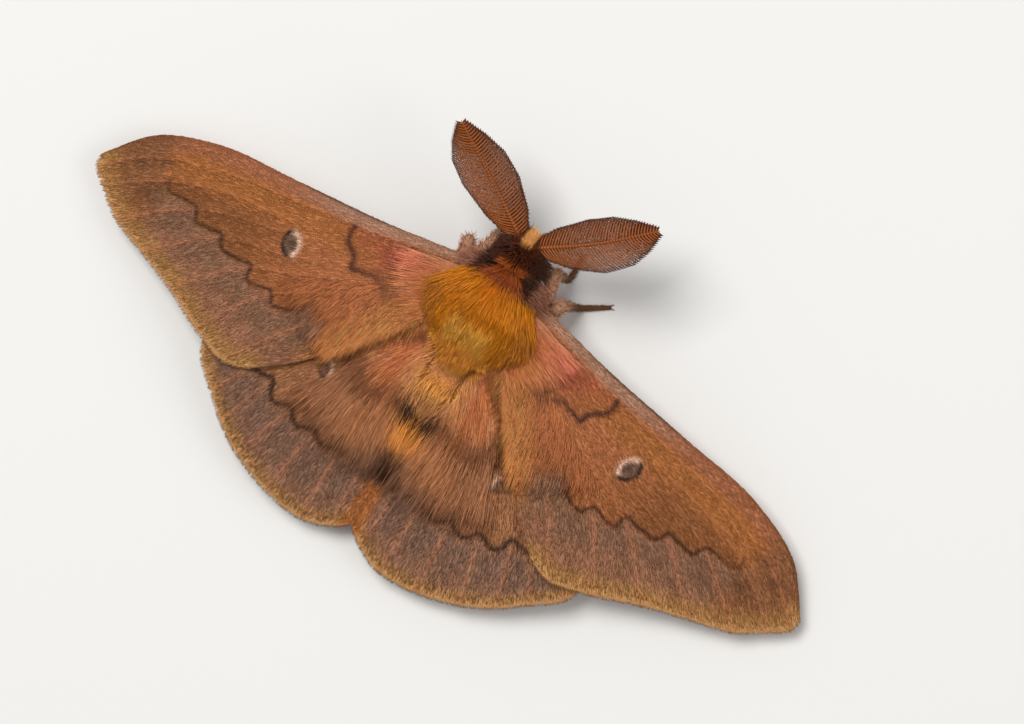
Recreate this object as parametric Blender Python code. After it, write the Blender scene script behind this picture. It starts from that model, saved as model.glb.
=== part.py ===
"""Autumn emperor moth: a male at rest with its wings spread flat, at life size.

+X is the moth's right, +Y its head and +Z up. The floor is z = 0, and the frame's origin
is under the middle of the moth's outline. The body, the legs, the feelers and the four
wings are separate pieces that meet face to face with a small gap.
"""

import math
import random

import bmesh
import bpy
import numpy as np

# Sizes are in millimetres and become metres where a mesh is made.
MM = 0.001
GAP = 0.3
WELD = 0.000001

# The plan below has its zero between the front wing hinges, this far ahead of the origin.
HINGE_Y = 6.48

# Wings: the height at the hinge, and how fast each pair falls away outward and rearward.
WING_THICK = 0.5
VEIN_RISE = 0.14
VEIN_FOOT = 0.13
FORE_HEIGHT = 6.3
FORE_FALL = 0.14
FORE_SLOPE = 0.02
HIND_HEIGHT = 5.3
HIND_FALL = 0.15
WING_SPACING = 0.95
HINGE_X = 4.0
FORE_REAR = -5.2

# Each vein of the right wings, from the hinge to the margin, in plan. The first and the
# last line of a wing are its front and inner edges.
FORE_VEINS = [
    [(3.9, 1.6), (12.0, -0.35), (20.0, -1.45), (28.0, -2.7), (33.0, -5.0), (36.1, -8.7)],
    [(3.9, 0.7), (12.0, -1.5), (20.0, -3.1), (27.0, -4.6), (32.5, -6.9), (35.9, -9.9)],
    [(3.9, 0.1), (12.0, -2.4), (18.5, -4.5), (24.5, -5.6), (29.6, -7.6), (34.5, -11.0)],
    [(3.9, -0.5), (11.0, -3.4), (18.0, -5.6), (26.3, -8.3), (31.8, -12.8)],
    [(3.9, -1.1), (10.5, -4.3), (17.0, -7.2), (23.0, -9.2), (28.2, -13.9)],
    [(3.9, -1.7), (9.5, -5.0), (15.2, -8.0), (19.4, -10.0), (24.4, -15.1)],
    [(3.9, -2.3), (8.6, -5.6), (12.7, -8.2), (16.7, -11.0), (20.4, -16.7)],
    [(3.9, -2.9), (7.6, -6.4), (12.2, -11.0), (16.9, -17.7)],
    [(3.9, -3.5), (7.0, -8.8), (11.0, -14.0), (14.6, -17.1)],
]
FORE_VEIN_STARTS = [0.0, 0.0, 0.42, 0.42, 0.42, 0.36, 0.26, 0.0, 0.0]
HIND_VEINS = [
    [(3.8, -3.7), (10.0, -6.2), (16.0, -10.4), (19.7, -16.0)],
    [(3.7, -4.1), (9.2, -8.6), (14.9, -14.2), (18.7, -18.4)],
    [(3.6, -4.5), (8.4, -9.4), (13.4, -15.0), (16.4, -20.4)],
    [(3.5, -4.9), (7.8, -10.4), (12.2, -16.4), (14.2, -22.2)],
    [(3.4, -5.3), (6.8, -11.0), (9.6, -17.6), (11.5, -23.7)],
    [(3.3, -5.7), (5.6, -11.4), (7.0, -18.2), (7.8, -24.9)],
    [(3.1, -6.1), (4.0, -12.0), (4.2, -18.6), (4.1, -25.2)],
    [(2.9, -6.5), (2.3, -12.2), (1.8, -18.5), (1.6, -24.3)],
    [(2.6, -7.0), (1.9, -9.4), (0.5, -11.8), (0.15, -15.0), (0.15, -23.2)],
]
HIND_VEIN_STARTS = [0.0, 0.0, 0.4, 0.4, 0.4, 0.34, 0.28, 0.0, 0.0]
FORE_ROWS = 12
HIND_ROWS = 10

# Pieces of the trunk: at each distance along it, the half width and the lowest and highest
# point of a rounded section. The coat is where the tips of the thorax's long hair lie.
THORAX = [
    (2.5, 1.3, 4.2, 7.0),
    (1.4, 2.8, 3.0, 7.7),
    (0.0, 3.5, 2.3, 8.1),
    (-2.0, 3.6, 2.0, 8.1),
    (-4.0, 3.2, 2.2, 7.4),
    (-6.0, 2.2, 2.7, 6.0),
]
THORAX_COAT = [
    (2.6, 1.8, 4.0, 7.8),
    (1.4, 3.4, 3.6, 8.9),
    (0.0, 4.1, 3.5, 9.3),
    (-2.0, 4.8, 3.5, 9.3),
    (-3.5, 4.5, 3.6, 8.9),
    (-5.2, 3.1, 3.9, 8.0),
    (-8.2, 2.2, 4.1, 6.9),
]
ABDOMEN = [
    (-6.3, 2.0, 2.8, 5.7),
    (-7.6, 1.9, 2.0, 5.6),
    (-9.0, 1.8, 1.5, 5.4),
    (-10.2, 1.7, 1.3, 4.9),
    (-11.6, 1.5, 1.1, 3.5),
    (-13.6, 1.1, 1.0, 3.0),
    (-14.8, 0.5, 1.2, 2.5),
]
ABDOMEN_COAT = [
    (-12.0, 1.7, 0.9, 3.5),
    (-14.0, 1.4, 0.7, 3.2),
    (-16.2, 0.7, 1.0, 2.6),
]
HEAD = [
    (2.8, 1.1, 4.3, 6.7),
    (3.3, 1.35, 4.0, 7.0),
    (4.1, 1.35, 4.0, 7.0),
    (4.8, 1.0, 4.3, 6.6),
    (5.3, 0.3, 5.0, 5.9),
]
SECTION_POWER = 2.4
TRUNK_SIDES = 18

# Rows of hair locks on the thorax: where each row is rooted, and how many it holds from
# one side over the back to the other. The abdomen ends in one row right round it.
LOCK_ROWS = [(2.2, 7), (1.1, 8), (-0.1, 9), (-1.4, 9), (-2.7, 9), (-4.0, 8), (-5.2, 6)]
LOCK_SIDE_ANGLE = 30.0
LOCK_LENGTH = 3.0
LOCK_WIDTH = 1.5
LOCK_THICK = 0.6
ROOT_THINNING = 0.5
TAIL_LOCKS = 8
TAIL_ROOT = -12.4

TAIL_LOCK_WIDTH = 1.0
TAIL_LOCK_THICK = 0.5

# Locks of long hair on the wings. From its root, each runs this far across the veins and
# along them, as shares of their length, and rises this much over the membrane's middle.
FORE_LOCKS = 11
FORE_LOCK_ACROSS = [-0.75, -0.45, -0.1, 0.25]
FORE_LOCK_ALONG = [0.0, 0.07, 0.14, 0.2]
FORE_LOCK_LIFT = [0.0, 0.26, 0.3, 0.15]
HIND_LOCKS = 12
HIND_LOCK_ACROSS = [0.0, -0.05, -0.12, -0.2]
HIND_LOCK_ALONG = [0.0, 0.09, 0.18, 0.27]
HIND_LOCK_LIFT = [0.0, 0.26, 0.32, 0.32]
WING_LOCK_WIDTH = 0.9
WING_LOCK_THICK = 0.5

EYE_RADIUS = 0.72
EYE_AT = (1.45, 4.25, 5.35)

# Feelers: the line of each shaft, which the moth holds a little differently on each side.
SHAFT_LINES = {
    "left": [(0.75, 4.9, 7.2), (5.3, 7.7, 9.2), (9.8, 10.3, 11.3)],
    "right": [(0.75, 4.9, 7.2), (5.0, 7.9, 9.2), (9.2, 11.7, 11.3)],
}
SHAFT_RADIUS = 0.3
SHAFT_POINTS = 9
RAMI = 13
RAMUS_THICK = 0.5
RAMUS_TIP_THICK = 0.3
RAMUS_FRONT = 2.0
RAMUS_REAR = 2.7
RAMUS_LENGTHS = [(0.0, 0.45), (0.12, 0.8), (0.4, 1.0), (0.75, 0.85), (1.0, 0.35)]

PALP_LENGTH = 1.3
PALP_RADIUS = 0.33

# Legs, as if all were on the right: where each leaves the thorax, as a distance along it and
# an angle down from its widest line, then the knee, the heel and the toe. A foot lies on the
# floor. The left middle leg is folded back under its wing, and the others mirror each other.
SOLE_HEIGHT = 0.14
RIGHT_LEGS = {
    "front": [(1.3, -35.0), (2.9, 3.8, 4.2), (3.7, 4.7, SOLE_HEIGHT), (3.5, 6.6, SOLE_HEIGHT)],
    "mid": [(-0.4, -35.0), (4.6, 1.6, 4.0), (6.2, 3.1, SOLE_HEIGHT), (7.9, 4.3, SOLE_HEIGHT)],
    "hind": [(-3.2, -35.0), (4.9, -5.2, 3.3), (6.4, -8.2, SOLE_HEIGHT), (7.2, -11.2, SOLE_HEIGHT)],
}
TUCKED_MID = [(-0.4, -35.0), (4.8, 2.4, 4.2), (5.9, 0.6, SOLE_HEIGHT), (8.2, -0.5, SOLE_HEIGHT)]
LEGS = {"left": {**RIGHT_LEGS, "mid": TUCKED_MID}, "right": RIGHT_LEGS}
LEG_RADII = [0.7, 0.74, 0.66, 0.42, 0.34, 0.32, 0.3]
LEG_POINTS = 14

FUR_GOLD = (0.62, 0.3, 0.04)
FUR_PEACH = (0.68, 0.34, 0.14)
HAIR_DARK = (0.3, 0.14, 0.07)
HAIR_PINK = (0.55, 0.3, 0.2)
AMBER = (0.42, 0.17, 0.05)
FORE_SCALES = (0.6, 0.25, 0.12)
HIND_SCALES = (0.55, 0.24, 0.14)
EYE_BLACK = (0.02, 0.015, 0.01)
FUR_ROUGHNESS = 0.85

UP = np.array([0.0, 0.0, 1.0])
MOTH = bpy.data.collections.new("autumn_emperor_moth")


def smooth(at, knots, values):
    """A cubic through the values at the knots, whose slope at each knot is its neighbours'."""
    at, knots = np.asarray(at, float), np.asarray(knots, float)
    values = np.asarray(values, float)
    slopes = np.gradient(values, knots, axis=0)
    i = np.clip(np.searchsorted(knots, at) - 1, 0, len(knots) - 2)
    step = (knots[i + 1] - knots[i])[..., None]
    u = ((at - knots[i]) / (knots[i + 1] - knots[i]))[..., None]
    start, end = values[i], values[i + 1]
    return (
        (1 + 2 * u) * (1 - u) ** 2 * start
        + u * (1 - u) ** 2 * step * slopes[i]
        + u**2 * (3 - 2 * u) * end
        + u**2 * (u - 1) * step * slopes[i + 1]
    )


def smooth_line(points, shares):
    """Points at the given shares of the length of a smooth line through the points."""
    points = np.asarray(points, float)
    chords = np.linalg.norm(np.diff(points, axis=0), axis=1)
    knots = np.concatenate([[0.0], np.cumsum(chords)])
    fine = np.linspace(0.0, knots[-1], 200)
    line = smooth(fine, knots, points)
    lengths = np.concatenate([[0.0], np.cumsum(np.linalg.norm(np.diff(line, axis=0), axis=1))])
    return smooth(np.interp(np.asarray(shares) * lengths[-1], lengths, fine), knots, points)


def unit(vectors):
    return vectors / np.linalg.norm(vectors, axis=-1, keepdims=True)


def placed(points):
    """Points of the plan, in millimetres from the hinges, as points of the frame in metres."""
    return (np.asarray(points, float) + [0.0, HINGE_Y, 0.0]) * MM


def finished(name, mesh, colour, roughness):
    """A closed object with its own material, from a mesh whose doubled points are welded."""
    shell = bmesh.new()
    shell.from_mesh(mesh)
    bmesh.ops.remove_doubles(shell, verts=shell.verts, dist=WELD)
    bmesh.ops.recalc_face_normals(shell, faces=shell.faces)
    shell.to_mesh(mesh)
    shell.free()
    mesh.shade_smooth()
    mesh.set_sharp_from_angle(angle=math.radians(50.0))
    material = bpy.data.materials.new(name)
    material.use_nodes = True
    finish = material.node_tree.nodes["Principled BSDF"]
    finish.inputs["Base Color"].default_value = (*colour, 1.0)
    finish.inputs["Roughness"].default_value = roughness
    finish.inputs["Metallic"].default_value = 0.0
    mesh.materials.append(material)
    obj = bpy.data.objects.new(name, mesh)
    MOTH.objects.link(obj)
    return obj


def loft(name, points, faces, colour, roughness):
    """An object from points of the plan and the faces between them."""
    mesh = bpy.data.meshes.new(name)
    mesh.from_pydata(placed(points).tolist(), [], faces)
    return finished(name, mesh, colour, roughness)


def tube(name, line, radii, resolution, colour, roughness):
    """A tapered round tube: a curve with filled caps, made a mesh."""
    curve = bpy.data.curves.new(name, "CURVE")
    curve.dimensions = "3D"
    curve.bevel_depth = MM
    curve.bevel_resolution = resolution
    curve.use_fill_caps = True
    spline = curve.splines.new("POLY")
    spline.points.add(len(line) - 1)
    for point, place, radius in zip(spline.points, placed(line), radii):
        point.co = (*place, 1.0)
        point.radius = radius
    guide = bpy.data.objects.new(name + "_guide", curve)
    MOTH.objects.link(guide)
    graph = bpy.context.evaluated_depsgraph_get()
    mesh = bpy.data.meshes.new_from_object(guide.evaluated_get(graph))
    mesh.materials.clear()
    bpy.data.objects.remove(guide)
    bpy.data.curves.remove(curve)
    return finished(name, mesh, colour, roughness)


def lattice_faces(rows, columns, closed):
    """Four-sided faces of a lattice of points, row by row, joined round each row if closed."""
    faces = []
    for row in range(rows - 1):
        for column in range(columns if closed else columns - 1):
            right = (column + 1) % columns
            low, high = row * columns, (row + 1) * columns
            faces.append((low + column, low + right, high + right, high + column))
    return faces


def largest_part(obj):
    """Keeps only the largest closed surface of an object."""
    shell = bmesh.new()
    shell.from_mesh(obj.data)
    waiting = set(shell.faces)
    groups = []
    while waiting:
        group, rim = set(), [waiting.pop()]
        while rim:
            face = rim.pop()
            group.add(face)
            near = {other for edge in face.edges for other in edge.link_faces} & waiting
            waiting -= near
            rim.extend(near)
        groups.append(group)
    groups.sort(key=len)
    for group in groups[:-1]:
        bmesh.ops.delete(shell, geom=list(group), context="FACES")
    shell.to_mesh(obj.data)
    shell.free()


def apply_boolean(obj, operation, others):
    """Applies one Boolean of a collection of closed objects, then removes those objects."""
    pieces = bpy.data.collections.new(obj.name + "_pieces")
    bpy.context.scene.collection.children.link(pieces)
    for other in others:
        MOTH.objects.unlink(other)
        pieces.objects.link(other)
    modifier = obj.modifiers.new("join", "BOOLEAN")
    modifier.operation = operation
    modifier.solver = "MANIFOLD"
    modifier.operand_type = "COLLECTION"
    modifier.collection = pieces
    bpy.context.view_layer.update()
    graph = bpy.context.evaluated_depsgraph_get()
    joined = bpy.data.meshes.new_from_object(obj.evaluated_get(graph))
    obj.modifiers.clear()
    obj.data = joined
    for other in others:
        bpy.data.objects.remove(other)
    bpy.data.collections.remove(pieces)
    largest_part(obj)


def fore_height(x, y):
    """Height of the middle of a forewing, which falls away from the hinge to the tip."""
    return FORE_HEIGHT - FORE_FALL * (np.abs(x) - HINGE_X) + FORE_SLOPE * y


def hind_height(x, y):
    """Height of the middle of a hindwing: it falls rearward and stays under the forewing."""
    own = HIND_HEIGHT - HIND_FALL * np.maximum(-HINGE_X - y, 0.0)
    under = fore_height(x, y) - WING_SPACING
    blend = 0.2
    return -blend * np.logaddexp(-own / blend, -under / blend)


def section_at(stations, y):
    """Half width, middle height and half height of a trunk piece's section at y."""
    table = np.array(stations)[::-1] if stations[0][0] > stations[-1][0] else np.array(stations)
    half, low, high = smooth(np.asarray(y, float), table[:, 0], table[:, 1:]).T
    return half, (low + high) / 2, (high - low) / 2


def on_section(stations, y, angle):
    """A point of a trunk piece's surface, by the angle up from its right-hand side."""
    half, middle, tall = section_at(stations, y)
    cosine, sine = np.cos(angle), np.sin(angle)
    reach = (np.abs(cosine) ** SECTION_POWER + np.abs(sine) ** SECTION_POWER) ** (
        -1 / SECTION_POWER
    )
    return np.stack(
        [half * reach * cosine, np.broadcast_to(y, np.shape(reach)), middle + tall * reach * sine],
        axis=-1,
    )


def away_from(stations, y, angle):
    """The outward direction of a trunk piece's surface, from two short steps along it."""
    step = 0.05
    along = on_section(stations, y + step, angle) - on_section(stations, y - step, angle)
    round_it = on_section(stations, y, angle + step) - on_section(stations, y, angle - step)
    return unit(np.cross(along, round_it))


def trunk(name, stations, rows, colour):
    """A piece of the trunk: rounded sections lofted along it, with a flat face at each end."""
    ys = np.linspace(stations[0][0], stations[-1][0], rows)
    angles = np.arange(TRUNK_SIDES) * 2 * math.pi / TRUNK_SIDES
    points = [on_section(stations, np.full(TRUNK_SIDES, y), angles) for y in ys]
    faces = lattice_faces(rows, TRUNK_SIDES, closed=True)
    faces.append(tuple(range(TRUNK_SIDES)))
    faces.append(tuple(range((rows - 1) * TRUNK_SIDES, rows * TRUNK_SIDES)))
    return loft(name, np.concatenate(points), faces, colour, FUR_ROUGHNESS)


def lock(name, line, width, thick, colour):
    """A flat tapered lock of hair: four-sided rings along a bent line that ends in a point.

    Its root is thinner than its middle, so that it is sunk in what it grows from.
    """
    line = np.asarray(line, float)
    level = unit(np.cross(line[-1] - line[0], UP))
    up = unit(np.cross(level, unit(np.gradient(line, axis=0))))
    taper = np.sqrt(1.0 - np.linspace(0.0, 1.0, len(line))[:-1] ** 2)[:, None]
    depth = taper * thick / 2
    depth[0] *= ROOT_THINNING
    rings = [
        line[:-1] - taper * level * width / 2,
        line[:-1] + depth * up[:-1],
        line[:-1] + taper * level * width / 2,
        line[:-1] - depth * up[:-1],
    ]
    points = np.concatenate([np.stack(rings, axis=1).reshape(-1, 3), line[-1:]])
    faces = lattice_faces(len(line) - 1, 4, closed=True)
    last, tip = (len(line) - 2) * 4, len(points) - 1
    faces += [(last + k, last + (k + 1) % 4, tip) for k in range(4)]
    faces.append((0, 1, 2, 3))
    return loft(name, points, faces, colour, FUR_ROUGHNESS)


def coat_line(core, coat, root, length, angle, turn):
    """The line of a lock: from under the core's surface it bends back to the coat's tips."""
    along = np.linspace(0.0, 1.0, 4)
    y = root - length * along
    lowest, highest = min(s[0] for s in core), max(s[0] for s in core)
    inner = on_section(core, np.clip(y, lowest, highest), np.full(4, angle))
    outer = on_section(coat, np.clip(y, coat[-1][0], coat[0][0]), angle + turn * along)
    inner[:, 1] = y
    outer[:, 1] = y
    rise = (-0.35 + 1.35 * along**0.6)[:, None]
    return inner + rise * (outer - inner)


def beside_trunk(y, z):
    """How far out a wing's face at height z starts at y: the trunk's side, and a gap."""
    reach = []
    for stations in (THORAX, ABDOMEN):
        ys = [station[0] for station in stations]
        half, middle, tall = section_at(stations, np.clip(y, min(ys), max(ys)))
        share = np.clip(np.abs(z - middle) / tall, 0.0, 1.0)
        side = half * (1.0 - share**SECTION_POWER) ** (1 / SECTION_POWER)
        reach.append(np.where(share < 1.0, side + GAP, 0.0))
    return np.where(np.asarray(y) > THORAX[-1][0] - GAP / 2, *reach)


def over_wings(line):
    """Lifts a lock's line, where it lies outside the thorax, clear of the wings under it."""
    room = WING_THICK / 2 + VEIN_RISE + GAP + LOCK_THICK / 2
    x, y = line[:, 0], line[:, 1]
    wing_at = np.where(y > FORE_REAR, fore_height(x, y), hind_height(x, y))
    outside = np.abs(line[:, 0]) > beside_trunk(line[:, 1], wing_at) - LOCK_WIDTH / 2
    line[:, 2] = np.where(outside, np.maximum(line[:, 2], wing_at + room), line[:, 2])
    return line


def thorax():
    """The middle of the trunk, with rows of long hair that lie back over it."""
    made = trunk("thorax", THORAX, 10, FUR_GOLD)
    draw = random.Random(3)
    locks = []
    for row, (root, count) in enumerate(LOCK_ROWS):
        low = math.radians(LOCK_SIDE_ANGLE)
        for k in range(count):
            share = (k + 0.5 * (row % 2) * (1 - 2 * k / (count - 1))) / (count - 1)
            angle = low + (math.pi - 2 * low) * share + draw.uniform(-0.03, 0.03)
            length = LOCK_LENGTH * draw.uniform(0.85, 1.1)
            line = coat_line(THORAX, THORAX_COAT, root, length, angle, draw.uniform(-0.06, 0.06))
            width = LOCK_WIDTH * draw.uniform(0.85, 1.1)
            locks.append(lock("thorax_lock", over_wings(line), width, LOCK_THICK, FUR_GOLD))
    apply_boolean(made, "UNION", locks)


def abdomen():
    """The rear of the trunk, which ends in a tuft."""
    made = trunk("abdomen", ABDOMEN, 12, FUR_PEACH)
    draw = random.Random(5)
    locks = []
    for k in range(TAIL_LOCKS):
        angle = (k + 0.5) * 2 * math.pi / TAIL_LOCKS
        length = LOCK_LENGTH * draw.uniform(1.0, 1.2)
        line = coat_line(ABDOMEN, ABDOMEN_COAT, TAIL_ROOT, length, angle, 0.0)
        locks.append(lock("abdomen_lock", line, TAIL_LOCK_WIDTH, TAIL_LOCK_THICK, FUR_PEACH))
    apply_boolean(made, "UNION", locks)


def rooted(veins, height):
    """The veins of a wing, each with its first point moved to stand off the trunk's side."""
    lines = []
    for vein in veins:
        x, y = vein[0]
        lower = height(x, y) - WING_THICK / 2
        start = np.max(beside_trunk(y, np.array([lower, lower + WING_THICK])))
        lines.append([(float(start), y), *vein[1:]])
    return lines


def wing_plan(veins, columns, shares):
    """Plan points of a wing, by the place across its veins and the share of their length."""
    lines = np.stack([smooth_line(vein, shares) for vein in veins])
    flat = smooth(np.asarray(columns), np.arange(float(len(veins))), lines.reshape(len(veins), -1))
    return flat.reshape(len(columns), len(shares), 2)


def wing_lock(veins, height, side, columns, shares, lift, colour):
    """A flat lock of hair on a wing, along places across its veins and shares of their length."""
    steps = np.arange(len(columns))
    plan = wing_plan(veins, columns, shares)[steps, steps]
    rise = height(plan[:, 0], plan[:, 1]) + np.asarray(lift)
    line = np.column_stack([plan[:, 0] * side, plan[:, 1], rise])
    return lock("wing_lock", line, WING_LOCK_WIDTH, WING_LOCK_THICK, colour)


def wing(name, side, veins, starts, height, rows, colour):
    """A wing: a membrane lofted across its veins, with each vein a ridge on its upper face.

    Between two veins there is one strip. A vein has a line at its crest and one at each
    foot, so its ridge is part of the membrane's own surface.
    """
    shares = np.linspace(0.0, 1.0, rows + 1)
    last = len(veins) - 1
    feet = (-VEIN_FOOT, 0.0, VEIN_FOOT)
    columns = np.array([0.0, *(k + foot for k in range(1, last) for foot in feet), last])
    plan = wing_plan(veins, columns, shares)
    crest = columns == np.round(columns)
    start = np.array([starts[round(column)] for column in columns])
    ridge = np.clip((shares[None, :] - start[:, None]) * 8.0, 0.0, 1.0) * crest[:, None]
    middle = height(plan[..., 0], plan[..., 1])
    clear = beside_trunk(plan[..., 1].ravel(), middle.ravel() - WING_THICK / 2 - GAP)
    plan[..., 0] = np.maximum(plan[..., 0], clear.reshape(middle.shape))
    flat = plan * [side, 1.0]
    upper = np.dstack([flat, middle + WING_THICK / 2 + VEIN_RISE * ridge])
    lower = np.dstack([flat, middle - WING_THICK / 2])
    points = np.concatenate([upper.reshape(-1, 3), lower.reshape(-1, 3)])
    wide, far = rows + 1, len(columns)
    under = wide * far
    faces = []
    for low, left, right, high in lattice_faces(far, wide, closed=False):
        for a, b, c in ((low, left, right), (low, right, high)):
            faces += [(a, b, c), (a + under, c + under, b + under)]
    rim = list(range(wide))
    rim += [column * wide + rows for column in range(1, far)]
    rim += [(far - 1) * wide + row for row in range(rows - 1, -1, -1)]
    rim += [column * wide for column in range(far - 2, 0, -1)]
    for here, there in zip(rim, rim[1:] + rim[:1]):
        faces += [(here, there + under, there), (here, here + under, there + under)]
    return loft(name, points, faces, colour, 0.8)


def forewing(name, side):
    """A front wing, whose long golden hair hangs a little over its inner edge."""
    veins = rooted(FORE_VEINS, fore_height)
    made = wing(name, side, veins, FORE_VEIN_STARTS, fore_height, FORE_ROWS, FORE_SCALES)
    draw = random.Random(7)
    inner = len(veins) - 1
    locks = []
    for k in range(FORE_LOCKS):
        root = 0.06 + 0.5 * k / (FORE_LOCKS - 1) + draw.uniform(-0.01, 0.01)
        columns = inner + np.array(FORE_LOCK_ACROSS) + draw.uniform(-0.1, 0.1)
        shares = root + np.array(FORE_LOCK_ALONG) * draw.uniform(0.9, 1.15)
        locks.append(
            wing_lock(veins, fore_height, side, columns, shares, FORE_LOCK_LIFT, FORE_SCALES)
        )
    apply_boolean(made, "UNION", locks)


def hindwing(name, side):
    """A rear wing, with long hair streaming back over it from its root."""
    veins = rooted(HIND_VEINS, hind_height)
    made = wing(name, side, veins, HIND_VEIN_STARTS, hind_height, HIND_ROWS, HIND_SCALES)
    draw = random.Random(11)
    inner = len(veins) - 1
    locks = []
    for k in range(HIND_LOCKS):
        column = inner - 0.5 - 2.6 * (k % 4) / 3 + draw.uniform(-0.15, 0.15)
        root = 0.1 + 0.13 * (k // 4) + draw.uniform(-0.02, 0.02)
        columns = column + np.array(HIND_LOCK_ACROSS)
        shares = root + np.array(HIND_LOCK_ALONG) * draw.uniform(0.9, 1.1)
        locks.append(
            wing_lock(veins, hind_height, side, columns, shares, HIND_LOCK_LIFT, HIND_SCALES)
        )
    apply_boolean(made, "UNION", locks)


def feeler(name, side):
    """A feather-like feeler: a tapered shaft with a row of bent rays on each side of it."""
    line = np.array(SHAFT_LINES["right" if side > 0 else "left"]) * [side, 1.0, 1.0]
    radii = np.linspace(SHAFT_RADIUS, SHAFT_RADIUS * 0.6, SHAFT_POINTS)
    spine = smooth_line(line, np.linspace(0.0, 1.0, SHAFT_POINTS))
    shaft = tube(name, spine, radii, 1, AMBER, 0.45)
    rays = []
    bend = np.array([0.0, 0.5, 1.0])[:, None]
    thick = np.linspace(RAMUS_THICK, RAMUS_TIP_THICK, len(bend)) / 2
    for k in range(RAMI):
        share = 0.07 + 0.9 * k / (RAMI - 1)
        root, ahead = smooth_line(line, [share - 0.01, share])
        along = unit(ahead - root)
        front = unit(np.cross(UP, along)) * side
        grown = np.interp(share, *zip(*RAMUS_LENGTHS))
        for way, reach, lean in ((1.0, RAMUS_FRONT, 0.2), (-0.85, RAMUS_REAR, 0.4)):
            forward = lean * (bend + bend**2) * along
            ray = root + reach * grown * (bend * front * way + forward - 0.12 * bend**2 * UP)
            rays.append(tube(name + "_ray", ray, thick, 0, AMBER, 0.45))
    apply_boolean(shaft, "UNION", rays)


def leg(name, side, place, knee, heel, toe):
    """A leg: a hairy thigh and shin, then a thin foot whose sole is flat on the floor."""
    y, angle = place[0], math.radians(place[1])
    out = away_from(THORAX, y, angle)
    base = on_section(THORAX, y, angle) + GAP * out
    shares = np.linspace(0.0, 1.0, LEG_POINTS)
    line = smooth_line([base, base + out, knee, heel, toe], shares)
    line = np.maximum(line, [-np.inf, -np.inf, SOLE_HEIGHT]) * [side, 1.0, 1.0]
    radii = np.interp(shares, np.linspace(0.0, 1.0, len(LEG_RADII)), LEG_RADII)
    made = tube(name, line, radii, 2, HAIR_PINK, 0.8)
    for vertex in made.data.vertices:
        vertex.co.z = max(vertex.co.z, 0.0)


def ball(name, side, radius, colour):
    """A round eye, or the hollow it sits in."""
    shell = bmesh.new()
    bmesh.ops.create_uvsphere(shell, u_segments=14, v_segments=9, radius=radius * MM)
    centre = placed(np.array(EYE_AT) * [side, 1.0, 1.0])
    bmesh.ops.translate(shell, verts=shell.verts, vec=centre)
    mesh = bpy.data.meshes.new(name)
    shell.to_mesh(mesh)
    shell.free()
    return finished(name, mesh, colour, 0.2)


def head():
    """The head, with a socket round each eye."""
    made = trunk("head", HEAD, 7, HAIR_DARK)
    sockets = [ball("socket", side, EYE_RADIUS + GAP, HAIR_DARK) for side in (-1, 1)]
    apply_boolean(made, "DIFFERENCE", sockets)


def palp(name, side):
    """A short hairy mouth feeler under the front of the head."""
    y, angle = 4.8, math.radians(-62.0)
    out = away_from(HEAD, y, angle)
    base = on_section(HEAD, y, angle) + GAP * out
    bend = base + 0.4 * out + [0.0, 0.2, 0.0]
    tip = base + PALP_LENGTH * unit(np.array([0.15, 1.0, -0.1]))
    line = smooth_line([base, bend, tip], np.linspace(0.0, 1.0, 6)) * [side, 1.0, 1.0]
    radii = PALP_RADIUS * np.array([0.9, 1.0, 1.0, 0.9, 0.75, 0.4])
    tube(name, line, radii, 2, HAIR_PINK, 0.8)


for old in list(bpy.data.objects):
    bpy.data.objects.remove(old)
bpy.context.scene.collection.children.link(MOTH)
thorax()
abdomen()
head()
for word, side in (("left", -1), ("right", 1)):
    ball(f"eye_{word}", side, EYE_RADIUS, EYE_BLACK)
    feeler(f"antenna_{word}", side)
    palp(f"palp_{word}", side)
    forewing(f"forewing_{word}", side)
    hindwing(f"hindwing_{word}", side)
    for which, marks in LEGS[word].items():
        leg(f"leg_{which}_{word}", side, *marks)
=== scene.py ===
"""Autumn emperor moth: a male at rest with its wings spread flat, dressed over its solids.

Sizes are in millimetres, in a plan whose zero lies between the front wing hinges: x to the
moth's right, y to its head and z up from the floor. They become metres in the frame where a
mesh is made. Colours are given on the screen's scale of 0 to 255.
"""

import math

import bpy
import numpy as np
from mathutils import Matrix, Vector


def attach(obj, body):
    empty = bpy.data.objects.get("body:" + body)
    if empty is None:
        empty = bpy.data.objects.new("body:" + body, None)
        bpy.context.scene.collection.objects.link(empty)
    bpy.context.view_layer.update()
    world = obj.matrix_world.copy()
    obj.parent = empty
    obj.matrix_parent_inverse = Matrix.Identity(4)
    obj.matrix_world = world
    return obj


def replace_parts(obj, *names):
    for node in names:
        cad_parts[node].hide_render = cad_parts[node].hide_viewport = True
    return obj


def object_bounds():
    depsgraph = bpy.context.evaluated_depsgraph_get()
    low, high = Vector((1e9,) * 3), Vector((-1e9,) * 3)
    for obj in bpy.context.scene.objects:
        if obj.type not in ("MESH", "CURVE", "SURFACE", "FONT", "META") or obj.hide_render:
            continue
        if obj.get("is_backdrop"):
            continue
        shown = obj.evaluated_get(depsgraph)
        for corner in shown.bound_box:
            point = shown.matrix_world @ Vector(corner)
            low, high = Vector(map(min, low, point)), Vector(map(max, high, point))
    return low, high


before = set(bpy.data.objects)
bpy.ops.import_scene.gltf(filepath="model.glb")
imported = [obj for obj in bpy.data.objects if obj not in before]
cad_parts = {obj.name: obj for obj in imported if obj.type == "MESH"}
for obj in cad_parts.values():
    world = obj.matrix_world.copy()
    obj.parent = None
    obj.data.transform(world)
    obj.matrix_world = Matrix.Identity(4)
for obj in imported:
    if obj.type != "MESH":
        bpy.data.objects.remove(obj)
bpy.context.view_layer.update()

# The stage: a pale matt floor that the moth stands on, with a soft lamp above its left and
# an even pale room round it. The camera looks almost straight down on its back.
MM = 0.001
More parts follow.
